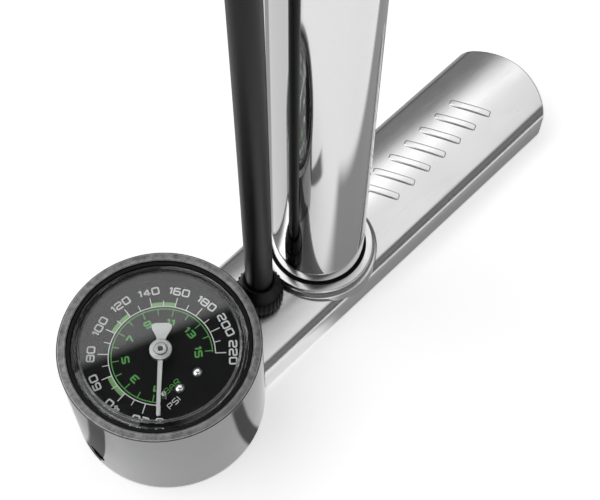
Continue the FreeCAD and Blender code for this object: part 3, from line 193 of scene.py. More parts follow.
gap = length(tree, placed(tree, "CombineXYZ", X=east, Y=spot.outputs["Y"]).outputs[0])
close = product(tree, gauge_shade_bands, past(gap, band_reach, -0.006))
for place, dark in ((beside, right_dark), (close, band_dark)):
    painted_shade = math_node(tree, "MAXIMUM", painted_shade, between(tree, place, 0.0, dark))
# painted reflection: only glossy rays see these dark patches, so polished metal shows them as dark
# surroundings and shade
painted_reflection = product(tree, placed(tree, "LightPath").outputs["Is Glossy Ray"], painted_shade)
feed(tree, floor_shader.inputs, Base_Color=mixed(tree, painted_reflection, floor_grey, reflected_shade_grey),
     Emission_Strength=between(tree, painted_reflection, floor_glow, 0.0))
floor_half = 12
floor_mesh = bpy.data.meshes.new("floor")
corners = [(x * floor_half, y * floor_half, 0) for x, y in ((-1, -1), (1, -1), (1, 1), (-1, 1))]
floor_mesh.from_pydata(corners, [], [(0, 1, 2, 3)])
floor_mesh.materials.append(plain_floor)
floor = bpy.data.objects.new("floor", floor_mesh)
show(floor)

# ------------ hose
# A smooth black rubber air hose, 10 mm thick and about 0.96 m long. It rises from its nut beside
# the barrel, lies over the hook behind the top cap and comes down to the chuck's neck.
MM = 0.001


def shader_group(name, inputs, outputs):
    """An empty shader node group with named sockets, given with its input and output sockets."""
    group = bpy.data.node_groups.new(name, "ShaderNodeTree")
    for socket, value in inputs.items():
        kind = "NodeSocketFloat" if isinstance(value, float) else "NodeSocketVector"
        made = group.interface.new_socket(socket, in_out="INPUT", socket_type=kind)
        made.default_value = value
    for socket in outputs:
        group.interface.new_socket(socket, in_out="OUTPUT", socket_type="NodeSocketFloat")
    return group, group.nodes.new("NodeGroupInput").outputs, group.nodes.new("NodeGroupOutput").inputs


def noise(tree, vector, scale, detail, roughness):
    """Soft random grey over space, coarse to fine by scale."""
    return placed(tree, "TexNoise", Vector=vector, Scale=scale, Detail=detail,
                  Roughness=roughness).outputs["Fac"]


# moulded grain: fine even pitting with slow cloudy changes, as on moulded rubber and nylon
moulded_grain, grain_in, grain_out = shader_group(
    "moulded grain", {"Vector": (0.0, 0.0, 0.0), "Size": 2200.0, "Bloom": 0.5},
    ("Height", "Cloud", "Bloom"))
pits = noise(moulded_grain, grain_in["Vector"], grain_in["Size"], 3.0, 0.6)
cloud = noise(moulded_grain, grain_in["Vector"], 60.0, 4.0, 0.6)
squared = math_node(moulded_grain, "POWER", cloud, 2.0)
feed(moulded_grain, grain_out, Height=pits, Cloud=cloud,
     Bloom=product(moulded_grain, squared, grain_in["Bloom"]))


def finish(name, **sockets):
    """A material and its tree, with plain values set on its Principled shader."""
    material = bpy.data.materials.new(name)
    material.use_nodes = True
    tree = material.node_tree
    shader = tree.nodes["Principled BSDF"]
    for socket, value in sockets.items():
        shader.inputs[socket.replace("_", " ")].default_value = value
    return material, tree, shader


def group_node(tree, group, **sockets):
    """The outputs of a node group placed in a material."""
    return placed(tree, "Group", {"node_tree": group}, **sockets).outputs


def own_place(tree, offset=(0, 0, 0), scale=(1, 1, 1)):
    """The point in the piece's own coordinates, scaled and then shifted by offset in metres."""
    point = placed(tree, "TexCoord").outputs["Object"]
    return placed(tree, "Mapping", Vector=point, Location=offset, Scale=scale).outputs["Vector"]


def raised(tree, shader, height, distance):
    """Fine relief: height from 0 to 1 over a distance in metres."""
    bump = placed(tree, "Bump", Height=height, Distance=distance, Strength=1.0)
    feed(tree, shader.inputs, Normal=bump.outputs[0])


def tinted(tree, shader, factor, dark, light):
    """Base colour from dark to light over factor."""
    feed(tree, shader.inputs, Base_Color=mixed(tree, factor, (*dark, 1), (*light, 1)))


def moulded(name, dark, light, rough, size, depth, scale=(1, 1, 1), bloom=0.5, **sockets):
    """A moulded rubber or plastic: cloudy colour, fine pits and uneven gloss."""
    material, tree, shader = finish(name, **sockets)
    grain = group_node(tree, moulded_grain, Vector=own_place(tree, scale=scale), Size=size, Bloom=bloom)
    tinted(tree, shader, grain["Bloom"], dark, light)
    feed(tree, shader.inputs, Roughness=between(tree, grain["Cloud"], *rough))
    raised(tree, shader, grain["Height"], depth)
    return material


hose_rubber = moulded("hose rubber", (0.004, 0.004, 0.0043), (0.016, 0.016, 0.017), (0.28, 0.42),
                      900.0, 0.00004, scale=(1, 1, 0.12), Specular_IOR_Level=0.18)
hose_diameter = 10.0
hose_route = [
    (-30.5, 0.0, 24.2), (-30.5, 0.0, 165.0), (-32.0, 1.0, 307.0), (-47.0, 16.0, 420.0),
    (-63.0, 32.0, 506.0), (-51.0, 32.0, 543.0), (-19.5, 32.0, 566.0), (19.5, 32.0, 566.0),
    (51.0, 32.0, 543.0), (63.0, 32.0, 506.0), (61.0, 28.0, 431.0), (46.0, 12.0, 354.0),
    (34.5, 0.0, 287.0), (34.5, 0.0, 224.2),
]
hose_line = bpy.data.curves.new("air_hose", "CURVE")
hose_line.dimensions = "3D"
spline = hose_line.splines.new("NURBS")
spline.points.add(len(hose_route) - 1)
for point, (x, y, z) in zip(spline.points, hose_route):
    point.co = (x * MM, y * MM, z * MM, 1)
spline.order_u = 3
spline.use_endpoint_u = True
spline.resolution_u = 16
hose_line.bevel_depth = hose_diameter / 2 * MM
hose_line.bevel_resolution = 12
hose_line.use_fill_caps = True
hose_line.materials.append(hose_rubber)
air_hose = bpy.data.objects.new("air_hose", hose_line)
show(air_hose)
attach(air_hose, "base")
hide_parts("hose")

# ------------ foot beam
# A pressed and polished alloy channel, open below, that everything stands on. Its crowned top has
# a row of raised slanted bars near the far end as a foot grip.

# polish marks: slow waves and haze left by buffing, fine crossing scratches and a few specks
polish_marks, polish_in, polish_out = shader_group(
    "polish marks", {"Vector": (0.0, 0.0, 0.0), "Waves": 45.0, "Lines": 260.0, "Specks": 0.03},
    ("Height", "Haze", "Scratch", "Speck"))
waves = noise(polish_marks, polish_in["Vector"], polish_in["Waves"], 1.5, 0.4)
haze = noise(polish_marks, polish_in["Vector"], 90.0, 5.0, 0.65)
lines = 0
for turn in (0.5, 1.9):
    laid = placed(polish_marks, "Mapping", Vector=polish_in["Vector"], Rotation=(0.2, 0.3, turn),
                  Scale=(1, 9, 9))
    fine = noise(polish_marks, laid.outputs[0], polish_in["Lines"], 1.0, 0.5)
    narrow = placed(polish_marks, "MapRange", Value=fine, i1=0.66, i2=0.72)
    lines = math_node(polish_marks, "ADD", lines, narrow.outputs[0])
cells = placed(polish_marks, "TexVoronoi", Vector=polish_in["Vector"], Scale=150.0)
speck = math_node(polish_marks, "LESS_THAN", cells.outputs["Distance"], polish_in["Specks"])
feed(polish_marks, polish_out, Height=waves, Haze=haze, Scratch=lines, Speck=speck)


def polished(name, colour, rough, waviness, stretch=(1, 1, 1), specks=0.02, scratches=0.06):
    """Buffed bright metal: almost a mirror, with slow waves, a little haze, fine scratches and
    specks. Scratches are rougher, and they and the specks are darker."""
    scratch_dulls, speck_shows, darkest = 0.2, 0.75, 0.35
    material, tree, shader = finish(name, Metallic=1.0)
    marks = group_node(tree, polish_marks, Vector=own_place(tree, scale=stretch), Specks=specks)
    dulled = math_node(tree, "MULTIPLY_ADD", marks["Scratch"], scratch_dulls, marks["Haze"])
    feed(tree, shader.inputs, Roughness=between(tree, dulled, *rough))
    specked = product(tree, marks["Speck"], speck_shows)
    spoilt = math_node(tree, "MULTIPLY_ADD", marks["Scratch"], scratches, specked)
    tinted(tree, shader, spoilt, colour, tuple(darkest * c for c in colour))
    raised(tree, shader, marks["Height"], waviness)
    return material


beam_alloy = polished("polished beam", (0.80, 0.80, 0.805), (0.14, 0.30), 0.00025, (0.35, 1, 1),
                      scratches=0.03)
beam = {"half": 22.8, "crown": 17.0, "shoulder": 6.0, "crown_radius": 73.0, "foot": 1.0, "wall": 2.5,
        "far": 118.0, "end_radius": 32.0, "corner": 4.0}
pod_x, pod_radius = -77.4, 35.0


def section(inset, skirt_steps=10, shoulder_steps=16, crown_steps=72):
    """The beam's section from one foot over the top to the other, as y and z: a straight skirt, a
    shoulder of radius 6 and a crown of radius 73 that touch each other, then the same mirrored.
    Also how many points the skirt has."""
    half, shoulder = beam["half"] - inset, beam["shoulder"] - inset
    crown_radius, top = beam["crown_radius"] - inset, beam["crown"] - inset
    centre = top - crown_radius
    shoulder_y = half - shoulder
    shoulder_z = centre + math.sqrt((crown_radius - shoulder) ** 2 - shoulder_y ** 2)
    reach = math.atan2(shoulder_y, shoulder_z - centre)
    skirt = np.linspace(beam["foot"], shoulder_z, skirt_steps, endpoint=False)
    bend = np.linspace(0, math.pi / 2 - reach, shoulder_steps, endpoint=False)
    over = np.linspace(-reach, reach, crown_steps)
    y = np.concatenate([np.full(skirt_steps, -half), -(shoulder_y + shoulder * np.cos(bend)),
                        crown_radius * np.sin(over)])
    z = np.concatenate([skirt, shoulder_z + shoulder * np.sin(bend),
                        centre + crown_radius * np.cos(over)])
    first = skirt_steps + shoulder_steps
    return (np.concatenate([y, -y[first - 1::-1]]), np.concatenate([z, z[first - 1::-1]]), skirt_steps)


def far_end(y, inset):
    """How far along X the beam reaches at y: an arc of radius 32 about the axis, with corners of
    radius 4."""
    half, radius = beam["half"] - inset, beam["end_radius"] - inset
    corner = beam["corner"] - inset
    centre = beam["far"] - beam["end_radius"]
    corner_y = half - corner
    corner_x = centre + math.sqrt((radius - corner) ** 2 - corner_y ** 2)
    touch_y = corner_y * radius / (radius - corner)
    width = np.abs(y)
    arc = centre + np.sqrt(np.maximum(radius ** 2 - width ** 2, 0))
    fillet = corner_x + np.sqrt(np.maximum(corner ** 2 - (width - corner_y) ** 2, 0))
    return np.where(width < touch_y, arc, fillet)


def crown_height(y):
    """The crown's arc: its centre's height and the root of its radius squared less y squared."""
    centre = beam["crown"] - beam["crown_radius"]
    return centre + np.sqrt(beam["crown_radius"] ** 2 - y ** 2)


def beam_shell(inset, along=60):
    """The channel's skin at an inset: the section carried along X from the pod to the far end, and
    the end wall."""
    y, z, skirt = section(inset)
    near = pod_x + np.sqrt(pod_radius ** 2 - y ** 2)
    share = np.linspace(0, 1, along)[None, :]
    x = near[:, None] + share * (far_end(y, inset) - near)[:, None]
    top = np.stack([x, np.broadcast_to(y[:, None], x.shape), np.broadcast_to(z[:, None], x.shape)], -1)
    rim = top[skirt:len(y) - skirt, -1]
    down = np.linspace(0, 1, skirt + 1)[None, :]
    wall = np.repeat(rim[:, None, :], skirt + 1, 1)
    wall[..., 2] = rim[:, None, 2] + down * (beam["foot"] - rim[:, None, 2])
    return top, wall


outer_top, outer_wall = beam_shell(0.0)
inner_top, inner_wall = beam_shell(beam["wall"])


def woven(rows, columns, closed_rows=False, closed_columns=False):
    """The quads of a grid numbered row by row; closed joins the last row or column to the first."""
    i = np.arange(rows if closed_rows else rows - 1)[:, None]
    j = np.arange(columns if closed_columns else columns - 1)[None, :]
    i, j = np.broadcast_arrays(i, j)
    i2, j2 = (i + 1) % rows, (j + 1) % columns
    quads = [i * columns + j, i * columns + j2, i2 * columns + j2, i2 * columns + j]
    return np.stack(quads, -1).reshape(-1, 4)


def closed_round(grid):
    """A grid of points with its quads, its last column joined to the first."""
    return grid, woven(*grid.shape[:2], closed_columns=True)


def put_together(name, sheets, material, body, stands_for=(), normals=None, sharp=35.0):
    """A piece from sheets, each (grid of points in mm, quads). Points that meet are made one, and
    edges past an angle stay crisp, unless the points bring their own normals."""
    points = np.concatenate([np.reshape(grid, (-1, 3)) for grid, _ in sheets])
    starts = np.cumsum([0] + [np.size(grid) // 3 for grid, _ in sheets[:-1]])
    quads = np.concatenate([faces + start for (_, faces), start in zip(sheets, starts)])
    _, first, same = np.unique(np.round(points, 4), axis=0, return_index=True, return_inverse=True)
    faces = [tuple(dict.fromkeys(face)) for face in same.reshape(-1)[quads].tolist()]
    mesh = bpy.data.meshes.new(name)
    mesh.from_pydata((points[first] * MM).tolist(), [], [f for f in faces if len(f) > 2])
    mesh.shade_smooth()
    if normals is None:
        mesh.set_sharp_from_angle(angle=math.radians(sharp))
    else:
        mesh.normals_split_custom_set_from_vertices(np.reshape(normals, (-1, 3))[first].tolist())
    mesh.materials.append(material)
    piece = bpy.data.objects.new(name, mesh)
    show(piece)
    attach(piece, body)
    if stands_for:
        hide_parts(*stands_for)
    return piece


def strip(first, second):
    """The band of quads between two rows of the same number of points."""
    return np.stack([first, second]), woven(2, len(first))


beam_sheets = [(sheet, woven(*sheet.shape[:2]))
               for sheet in (outer_top, outer_wall, inner_top, inner_wall)]
beam_sheets += [strip(outer_top[0], inner_top[0]), strip(outer_top[-1], inner_top[-1]),
                strip(outer_top[:, 0], inner_top[:, 0]), strip(outer_wall[:, -1], inner_wall[:, -1])]


def grip_bar(x):
    """A slanted raised bar on the crown: a rounded oblong, drawn in ring by ring down to a line at
    its middle while it rises."""
    half_wide, half_long, blunt, slant = 1.5, 8.5, 2 / 7, math.radians(25)
    insets = np.array([0.0, 0.0, 0.05, 0.2, 0.5, 1.0, 1.5])[:, None]
    rises = np.array([-0.4, 0.26, 0.4, 0.49, 0.5, 0.5, 0.5])[:, None]
    angle = np.linspace(0, 2 * math.pi, 96, endpoint=False)[None, :]
    across = (half_wide - insets) * np.sign(np.cos(angle)) * np.abs(np.cos(angle)) ** blunt
    along = (half_long - insets) * np.sign(np.sin(angle)) * np.abs(np.sin(angle)) ** blunt
    bx = x + across * math.cos(slant) - along * math.sin(slant)
    by = across * math.sin(slant) + along * math.cos(slant)
    return closed_round(np.stack([bx, by, crown_height(by) + rises], -1))


def rolled_outwards(piece):
    """Turns every face of a closed piece outwards."""
    work = bmesh.new()
    work.from_mesh(piece.data)
    bmesh.ops.recalc_face_normals(work, faces=work.faces)
    work.to_mesh(piece.data)
    work.free()


first_bar, bar_pitch, bars = 34.0, 9.0, 7
beam_sheets += [grip_bar(first_bar + bar_pitch * i) for i in range(bars)]
channel = put_together("foot_channel", beam_sheets, beam_alloy, "base", ["foot_beam"],
                       sharp=30.0)
rolled_outwards(channel)
edge = channel.modifiers.new("broken edges", "BEVEL")
edge.width = 0.5 * MM
edge.segments = 3
edge.limit_method = "ANGLE"
edge.angle_limit = math.radians(50)
edge.harden_normals = True


def dress(material, *nodes):
    """Gives CAD nodes their finish."""
    for node in nodes:
        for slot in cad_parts[node].material_slots:
            slot.material = material


foot_rubber = moulded("foot rubber", (0.016, 0.016, 0.017), (0.05, 0.05, 0.05), (0.6, 0.8), 1600.0,
                      0.00008)
dress(foot_rubber, "centre_foot_pad", "end_foot_pads", "pod_foot_pad")

# ------------ gauge pod
# A turned alloy cup at the beam's end with a flat brushed rim. A recess low in its far side holds
# the bolt that pulls it to the beam, and a plate with three screws closes it below.


def eased(outline, size, looped, steps=5):
    """Rounds an outline's corners: each is a parabola from one size before it to one size after it.
    Gives the points and the outward directions, which at its ends are those of the straight sides."""
    corners = np.array(outline, float)
    if not looped:
        corners = np.vstack([corners[:1], corners, corners[-1:]])
    back, on = np.roll(corners, 1, 0) - corners, np.roll(corners, -1, 0) - corners
    if not looped:
        corners, back, on = corners[1:-1], back[1:-1], on[1:-1]
    back_length, on_length = np.linalg.norm(back, axis=1), np.linalg.norm(on, axis=1)
    reach_back = np.where(back_length > 0, np.minimum(size, 0.45 * back_length), 0)[:, None]
    reach_on = np.where(on_length > 0, np.minimum(size, 0.45 * on_length), 0)[:, None]
    way_back = back / np.maximum(back_length, 1e-9)[:, None]
    way_on = on / np.maximum(on_length, 1e-9)[:, None]
    if not looped:
        reach_back[-1], reach_on[0] = 0, 0
        way_back[0], way_on[-1] = -way_on[0], -way_back[-1]
    before, after = corners + way_back * reach_back, corners + way_on * reach_on
    t = np.linspace(0, 1, steps)[None, :, None]
    points = ((1 - t) ** 2 * before[:, None] + 2 * t * (1 - t) * corners[:, None]
              + t ** 2 * after[:, None])
    run = (1 - t) * -way_back[:, None] + t * way_on[:, None]
    run = run / np.maximum(np.linalg.norm(run, axis=2, keepdims=True), 1e-9)
    outward = np.stack([run[..., 1], -run[..., 0]], -1)
    if not looped:
        keep = np.ones((len(corners), steps), bool)
        keep[0, 1:], keep[-1, 1:] = False, False
        return points[keep], outward[keep]
    return points.reshape(-1, 2), outward.reshape(-1, 2)


def anticlockwise(outline):
    """The outline, turned round if the area that it goes about is negative."""
    r, h = np.array(outline, float).T
    area = np.sum(r * np.roll(h, -1) - np.roll(r, -1) * h)
    return list(outline) if area > 0 else list(outline)[::-1]


def turned(outline, ease=0.3, centre=(0, 0, 0), along=2, around=192, looped=True, steps=5):
    """A lathe surface. An outline point at distance r from the axis and place h along it goes round
    as x = r cos a, y = r sin a, z = h. The whole is then turned to lie along X (0), Y (1) or Z (2)
    and moved to its centre."""
    profile, outward = eased(anticlockwise(outline), ease, looped, steps)
    angle = np.linspace(0, 2 * math.pi, around, endpoint=False)[None, :]
    ring = np.stack([np.cos(angle), np.sin(angle)], -1)
    grid, normal = (np.roll(np.concatenate(
        [row[:, None, :1] * ring, np.repeat(row[:, None, 1:], around, 1)], -1), along + 1, -1)
        for row in (profile, outward))
    return (grid + np.array(centre), woven(len(profile), around, looped, True)), normal


def turned_piece(name, outline, material, body, slot, stands_for=(), more=(), **how):
    """A piece of one lathe surface, or of several given in more as (outline, how)."""
    made = [turned(outline, **how)] + [turned(line, **other) for line, other in more]
    normals = np.concatenate([normal.reshape(-1, 3) for _, normal in made])
    return put_together(name, [sheet for sheet, _ in made], material, body, stands_for, normals)


def round_pod(tree):
    """The piece's own coordinates with the pod's axis at x = y = 0."""
    return own_place(tree, offset=(-pod_x * MM, 0, 0))


# brushed rings: the fine concentric lines of a facing cut, round the axis that Vector is centred on
brushed_rings, rings_in, rings_out = shader_group(
    "brushed rings", {"Vector": (0.0, 0.0, 0.0), "Fineness": 3000.0}, ("Height", "Shade"))
split = placed(brushed_rings, "SeparateXYZ", Vector=rings_in["Vector"])
across = placed(brushed_rings, "CombineXYZ", X=split.outputs["X"], Y=split.outputs["Y"]).outputs[0]
rings = placed(brushed_rings, "TexNoise", {"noise_dimensions": "1D"}, W=length(brushed_rings, across),
               Scale=rings_in["Fineness"], Detail=3.0).outputs["Fac"]
patches = noise(brushed_rings, rings_in["Vector"], 420.0, 5.0, 0.7)
feed(brushed_rings, rings_out, Height=rings, Shade=between(brushed_rings, 0.4, rings, patches))

pod = {"bore": 31.75, "bottom": 1.0, "top": 49.6, "band_low": 3.0, "band_high": 15.0,
       "recess": 3.75, "recess_depth": 5.5, "recess_z": 9.0}

pod_alloy, tree, shader = finish("polished pod", Metallic=1.0)
marks = group_node(tree, polish_marks, Vector=own_place(tree), Specks=0.035)
facing = group_node(tree, brushed_rings, Vector=round_pod(tree), Fineness=2600.0)
level = placed(tree, "SeparateXYZ", Vector=own_place(tree)).outputs["Z"]
on_rim = math_node(tree, "GREATER_THAN", level, (pod["top"] - 0.15) * MM)
rough = mixed(tree, on_rim, between(tree, marks["Haze"], 0.05, 0.16),
              between(tree, facing["Shade"], 0.30, 0.48))
specked = product(tree, marks["Speck"], 0.8)
side = mixed(tree, specked, (0.225, 0.225, 0.228, 1), (0.10, 0.10, 0.10, 1))
uneven = placed(tree, "MapRange", Value=facing["Shade"], i1=0.38, i2=0.62).outputs[0]
rim = mixed(tree, uneven, (0.07, 0.07, 0.07, 1), (0.37, 0.37, 0.375, 1))
feed(tree, shader.inputs, Roughness=rough, Base_Color=mixed(tree, on_rim, side, rim))
brushed = product(tree, facing["Height"], 0.2)
raised(tree, shader, mixed(tree, on_rim, marks["Height"], brushed), 0.0002)

pod_around = 256
cup, _ = turned([
    (pod_radius, pod["band_high"]), (pod_radius, pod["top"]), (pod["bore"], pod["top"]),
    (pod["bore"], pod["bottom"]), (pod_radius, pod["bottom"]), (pod_radius, pod["band_low"])],
    ease=0.35, centre=(pod_x, 0, 0), around=pod_around, looped=False)


def pod_side(steps=14):
    """The side wall's band from z 3 to 15, left open round the bolt's recess, and the recess itself:
    squares of the grid give way to rings that turn from a square into a circle, and go on inwards
    as the recess's wall and floor."""
    radius, pitch, low, high = pod_radius, 2 * math.pi / pod_around, pod["band_low"], pod["band_high"]
    angle = math.pi + np.arange(-pod_around // 2, pod_around // 2 + 1) * pitch
    z = np.linspace(low, high, steps + 1)

    def on_wall(turn, z):
        return np.stack([pod_x + radius * np.cos(turn), radius * np.sin(turn), z + 0 * turn], -1)

    turns, heights = np.meshgrid(angle, z, indexing="ij")
    band = on_wall(turns, heights)
    quads = woven(len(angle), len(z)).reshape(len(angle) - 1, steps, 4)
    half = steps // 2
    middle = pod_around // 2
    open_ = np.ones(quads.shape[:2], bool)
    open_[middle - half:middle + half, :] = False
    sheets = [(band, quads[open_])]
    along = np.linspace(-half, half, 2 * half, endpoint=False)
    edge_a = np.concatenate([along, np.full(steps, half), -along, np.full(steps, -half)]) * pitch
    edge_z = np.concatenate([np.full(2 * half, low), z[:-1], np.full(2 * half, high), z[:0:-1]])
    spin = np.arctan2(edge_z - pod["recess_z"], edge_a * radius)
    rings = []
    for share in np.linspace(0, 1, 8):
        flat_a = (1 - share) * edge_a + share * pod["recess"] * np.cos(spin) / radius
        flat_z = (1 - share) * edge_z + share * (pod["recess_z"] + pod["recess"] * np.sin(spin))
        rings.append(on_wall(math.pi + flat_a, flat_z))
    rim = rings[-1]
    for inwards, size in ((0.12, 0.97), (pod["recess_depth"], 0.97), (pod["recess_depth"], 0.55)):
        wide = pod["recess"] * size
        ring = np.stack([np.full(len(spin), pod_x - radius + inwards), -wide * np.cos(spin),
                         pod["recess_z"] + wide * np.sin(spin)], -1)
        if inwards < 1:
            ring[:, 0] = rim[:, 0] + inwards
        rings.append(ring)
    return sheets + [closed_round(np.stack(rings))]


put_together("pod_cup", [cup] + pod_side(), pod_alloy, "base", ["gauge_pod"],
             sharp=40.0)

zinc = polished("zinc plated steel", (0.60, 0.60, 0.61), (0.22, 0.4), 0.0001, scratches=0.2)
satin = polished("satin alloy", (0.66, 0.67, 0.68), (0.3, 0.42), 0.0001, (1, 1, 4), scratches=0.25)
dark_bolt = polished("blackened steel", (0.07, 0.07, 0.072), (0.3, 0.45), 0.0001)
dress(dark_bolt, "pod_bolt")
dress(zinc, "base_plate_screws")
nylon = moulded("black nylon", (0.018, 0.018, 0.019), (0.042, 0.042, 0.044), (0.42, 0.6), 1500.0,
                0.00006)
dress(nylon, "pod_base_plate")

# ------------ gauge case, gasket and lens
# A drawn steel case drops onto the pod's ledge. A clear moulded lens with a bevelled edge covers
# it, and a black rubber ring round the lens keeps dust out.
case_black = moulded("painted case", (0.02, 0.02, 0.021), (0.045, 0.045, 0.045), (0.3, 0.45), 900.0,
                     0.00003)
dress(case_black, "gauge_case")
seal_rubber = moulded("seal rubber", (0.004, 0.004, 0.004), (0.012, 0.012, 0.012), (0.5, 0.65), 1200.0,
                      0.00003, Specular_IOR_Level=0.2)
turned_piece("lens_gasket", [(30.25, 46.3), (31.68, 46.3), (31.68, 49.2), (30.25, 49.2)], seal_rubber,
             "base", "black_rubber", ["gauge_gasket"], ease=0.35, centre=(pod_x, 0, 0))

lens_clear, tree, shader = finish("clear lens", Roughness=0.0, IOR=1.49, Transmission_Weight=1.0)
marks = group_node(tree, polish_marks, Vector=own_place(tree))
tinted(tree, shader, marks["Haze"], (0.955, 0.97, 0.97), (0.985, 0.995, 0.995))
# the bevel's upper edge is left frosted, as a narrow ring round the axis
frost_radius, frost_half = 27.5, 0.14
flat = placed(tree, "VectorMath", {"operation": "MULTIPLY"}, i0=round_pod(tree), i1=(1, 1, 0))
frosted = math_node(tree, "COMPARE", length(tree, flat.outputs[0]), frost_radius * MM, frost_half * MM)
feed(tree, shader.inputs, Roughness=product(tree, frosted, 0.5))
# lamps shine through it, so that the dial isn't left in its shadow
let_through = placed(tree, "BsdfTransparent", Color=(0.92, 0.93, 0.93, 1))
for_lamps = placed(tree, "MixShader", i0=placed(tree, "LightPath").outputs["Is Shadow Ray"],
                   i1=shader.outputs[0], i2=let_through.outputs[0])
feed(tree, tree.nodes["Material Output"].inputs, Surface=for_lamps.outputs[0])
turned_piece("lens", [(0, 48.0), (27.9, 48.0), (28.9, 46.2), (30.15, 46.2), (30.15, 48.45),
                      (27.7, 49.5), (27.5, 49.66), (27.2, 49.6), (0, 49.6)], lens_clear, "base",
             "clear_lens", ["gauge_lens"], ease=0.12, centre=(pod_x, 0, 0), looped=False)

# ------------ dial
# A matt black dial with a white scale outside and a green one inside, both from the same zero.
# Two dome screws hold it on its posts, and a small pin stops the needle at zero.
dial_black = moulded("dial black", (0.0015, 0.0015, 0.0016), (0.0035, 0.0035, 0.0038), (0.5, 0.65),
                     2600.0, 0.00002, Specular_IOR_Level=0.12)
dress(dial_black, "dial_face")
print_white, print_green, print_pale_green = (
    moulded(name, dark, light, (0.5, 0.7), 3000.0, 0.00002) for name, dark, light in (
        ("white print", (0.78, 0.78, 0.78), (0.92, 0.92, 0.92)),
        ("green print", (0.10, 0.42, 0.08), (0.15, 0.54, 0.12)),
        ("pale green print", (0.20, 0.44, 0.15), (0.28, 0.55, 0.21))))
dial_top, ink = 39.5, 0.06

# each sign is drawn with a few pen strokes in a square from 0 to 1
box = [(0, 0), (1, 0), (1, 1), (0, 1), (0, 0)]
SIGNS = {
    "0": [box], "1": [[(0, 0.74), (0.95, 1), (0.95, 0)]],
    "2": [[(0, 0.8), (0, 1), (1, 1), (1, 0.53), (0, 0.47), (0, 0), (1, 0)]],
    "3": [[(0, 1), (1, 1), (1, 0), (0, 0)], [(0.25, 0.5), (1, 0.5)]],
    "4": [[(0.72, 0), (0.72, 1), (0, 0.3), (1.05, 0.3)]],
    "5": [[(1, 1), (0, 1), (0, 0.57), (1, 0.53), (1, 0), (0, 0)]],
    "6": [[(0.95, 1), (0, 1), (0, 0), (1, 0), (1, 0.54), (0, 0.54)]],
    "7": [[(0, 1), (1, 1), (0.35, 0)]],
    "8": [box, [(0, 0.52), (1, 0.52)]],
    "9": [[(0.05, 0), (1, 0), (1, 1), (0, 1), (0, 0.46), (1, 0.46)]],
    "P": [[(0, 0), (0, 1), (1, 1), (1, 0.42), (0, 0.42)]],
    "S": [[(1, 1), (0, 1), (0, 0.5), (1, 0.5), (1, 0), (0, 0)]],
    "I": [[(0.5, 0), (0.5, 1)]], "B": [box, [(0, 0.5), (1, 0.5)]],
    "A": [[(0, 0), (0, 0.6), (0.5, 1), (1, 0.6), (1, 0)], [(0, 0.4), (1, 0.4)]],
    "R": [[(0, 0), (0, 1), (1, 1), (1, 0.45), (0, 0.45)], [(0.5, 0.45), (1, 0)]],
}


def bar_skin(rows):
    """The quads of a four-sided bar through rows of four corners, with both ends closed."""
    last = 4 * (rows - 1)
    return np.vstack([woven(rows, 4, closed_columns=True),
                      [[3, 2, 1, 0], [last, last + 1, last + 2, last + 3]]])


def pen_stroke(points, width):
    """A flat raised line of a given width through points in the plane: each point is moved half a
    width to both sides along the bisector there, and the four-sided section is carried through."""
    low, high = dial_top, dial_top + ink
    points = np.array(points, float)
    run = np.diff(points, axis=0)
    run = run / np.linalg.norm(run, axis=1)[:, None]
    side = np.stack([-run[:, 1], run[:, 0]], -1)
    shut = np.allclose(points[0], points[-1])
    before = np.vstack([side[-1:] if shut else side[:1], side])
    after = np.vstack([side, side[:1] if shut else side[-1:]])
    bisector = before + after
    bisector = bisector / np.maximum(np.sum(bisector * before, axis=1), 0.5)[:, None]
    left, right = points + bisector * width / 2, points - bisector * width / 2
    rows = [np.column_stack([edge, np.full(len(edge), level)])
            for edge, level in ((left, low), (right, low), (right, high), (left, high))]
    grid = np.stack(rows, 1)
    return grid, woven(len(points), 4, closed_columns=True) if shut else bar_skin(len(points))


def written(text, height, width, pen, centre, turn, gap=0.9):
    """Strokes for a row of signs, centred at a place and turned by an angle from upright. The signs
    1 and I are narrow."""
    widths = np.array([width * {"1": 0.36, "I": 0.05}.get(sign, 1.0) for sign in text])
    middles = np.cumsum(widths + gap) - gap - widths / 2
    middles = middles - (np.sum(widths + gap) - gap) / 2
    cos, sin = math.cos(turn), math.sin(turn)
    sheets = []
    for sign, wide, middle in zip(text, widths, middles):
        for stroke in SIGNS[sign]:
            points = (np.array(stroke) - 0.5) * (wide, height) + (middle, 0)
            if len(points) > 2:
                ends = np.allclose(points[0], points[-1])
                points, _ = eased(points[:-1] if ends else points, 0.22 * height, ends)
                if ends:
                    points = np.vstack([points, points[:1]])
            sheets.append(pen_stroke(points @ np.array([[cos, sin], [-sin, cos]]) + centre, pen))
    return sheets


def dial_angle(psi):
    """From 10 to 220 psi the scale is even, 1.265 degrees clockwise for each; zero is drawn in close
    before 10."""
    return math.radians(-134.5 if psi == 0 else -124.6 - 1.265 * psi)


def ring_place(radius, angle):
    """The place at a radius and an angle round the pod's axis, for one angle or many."""
    return np.stack([pod_x + radius * np.cos(angle), radius * np.sin(angle)], -1)


def arc_line(radius, start, end, width):
    """A line round the pod's axis from one angle to another."""
    return pen_stroke(ring_place(radius, np.linspace(start, end, 160)), width)


def tick(angle, inner, outer, width):
    """A line along the radius at an angle."""
    return pen_stroke([ring_place(inner, angle), ring_place(outer, angle)], width)


def numeral(value, angle, size, pen, radius):
    """A number that stands upright on its radius."""
    return written(str(value), *size, pen, ring_place(radius, angle), angle - math.pi / 2)


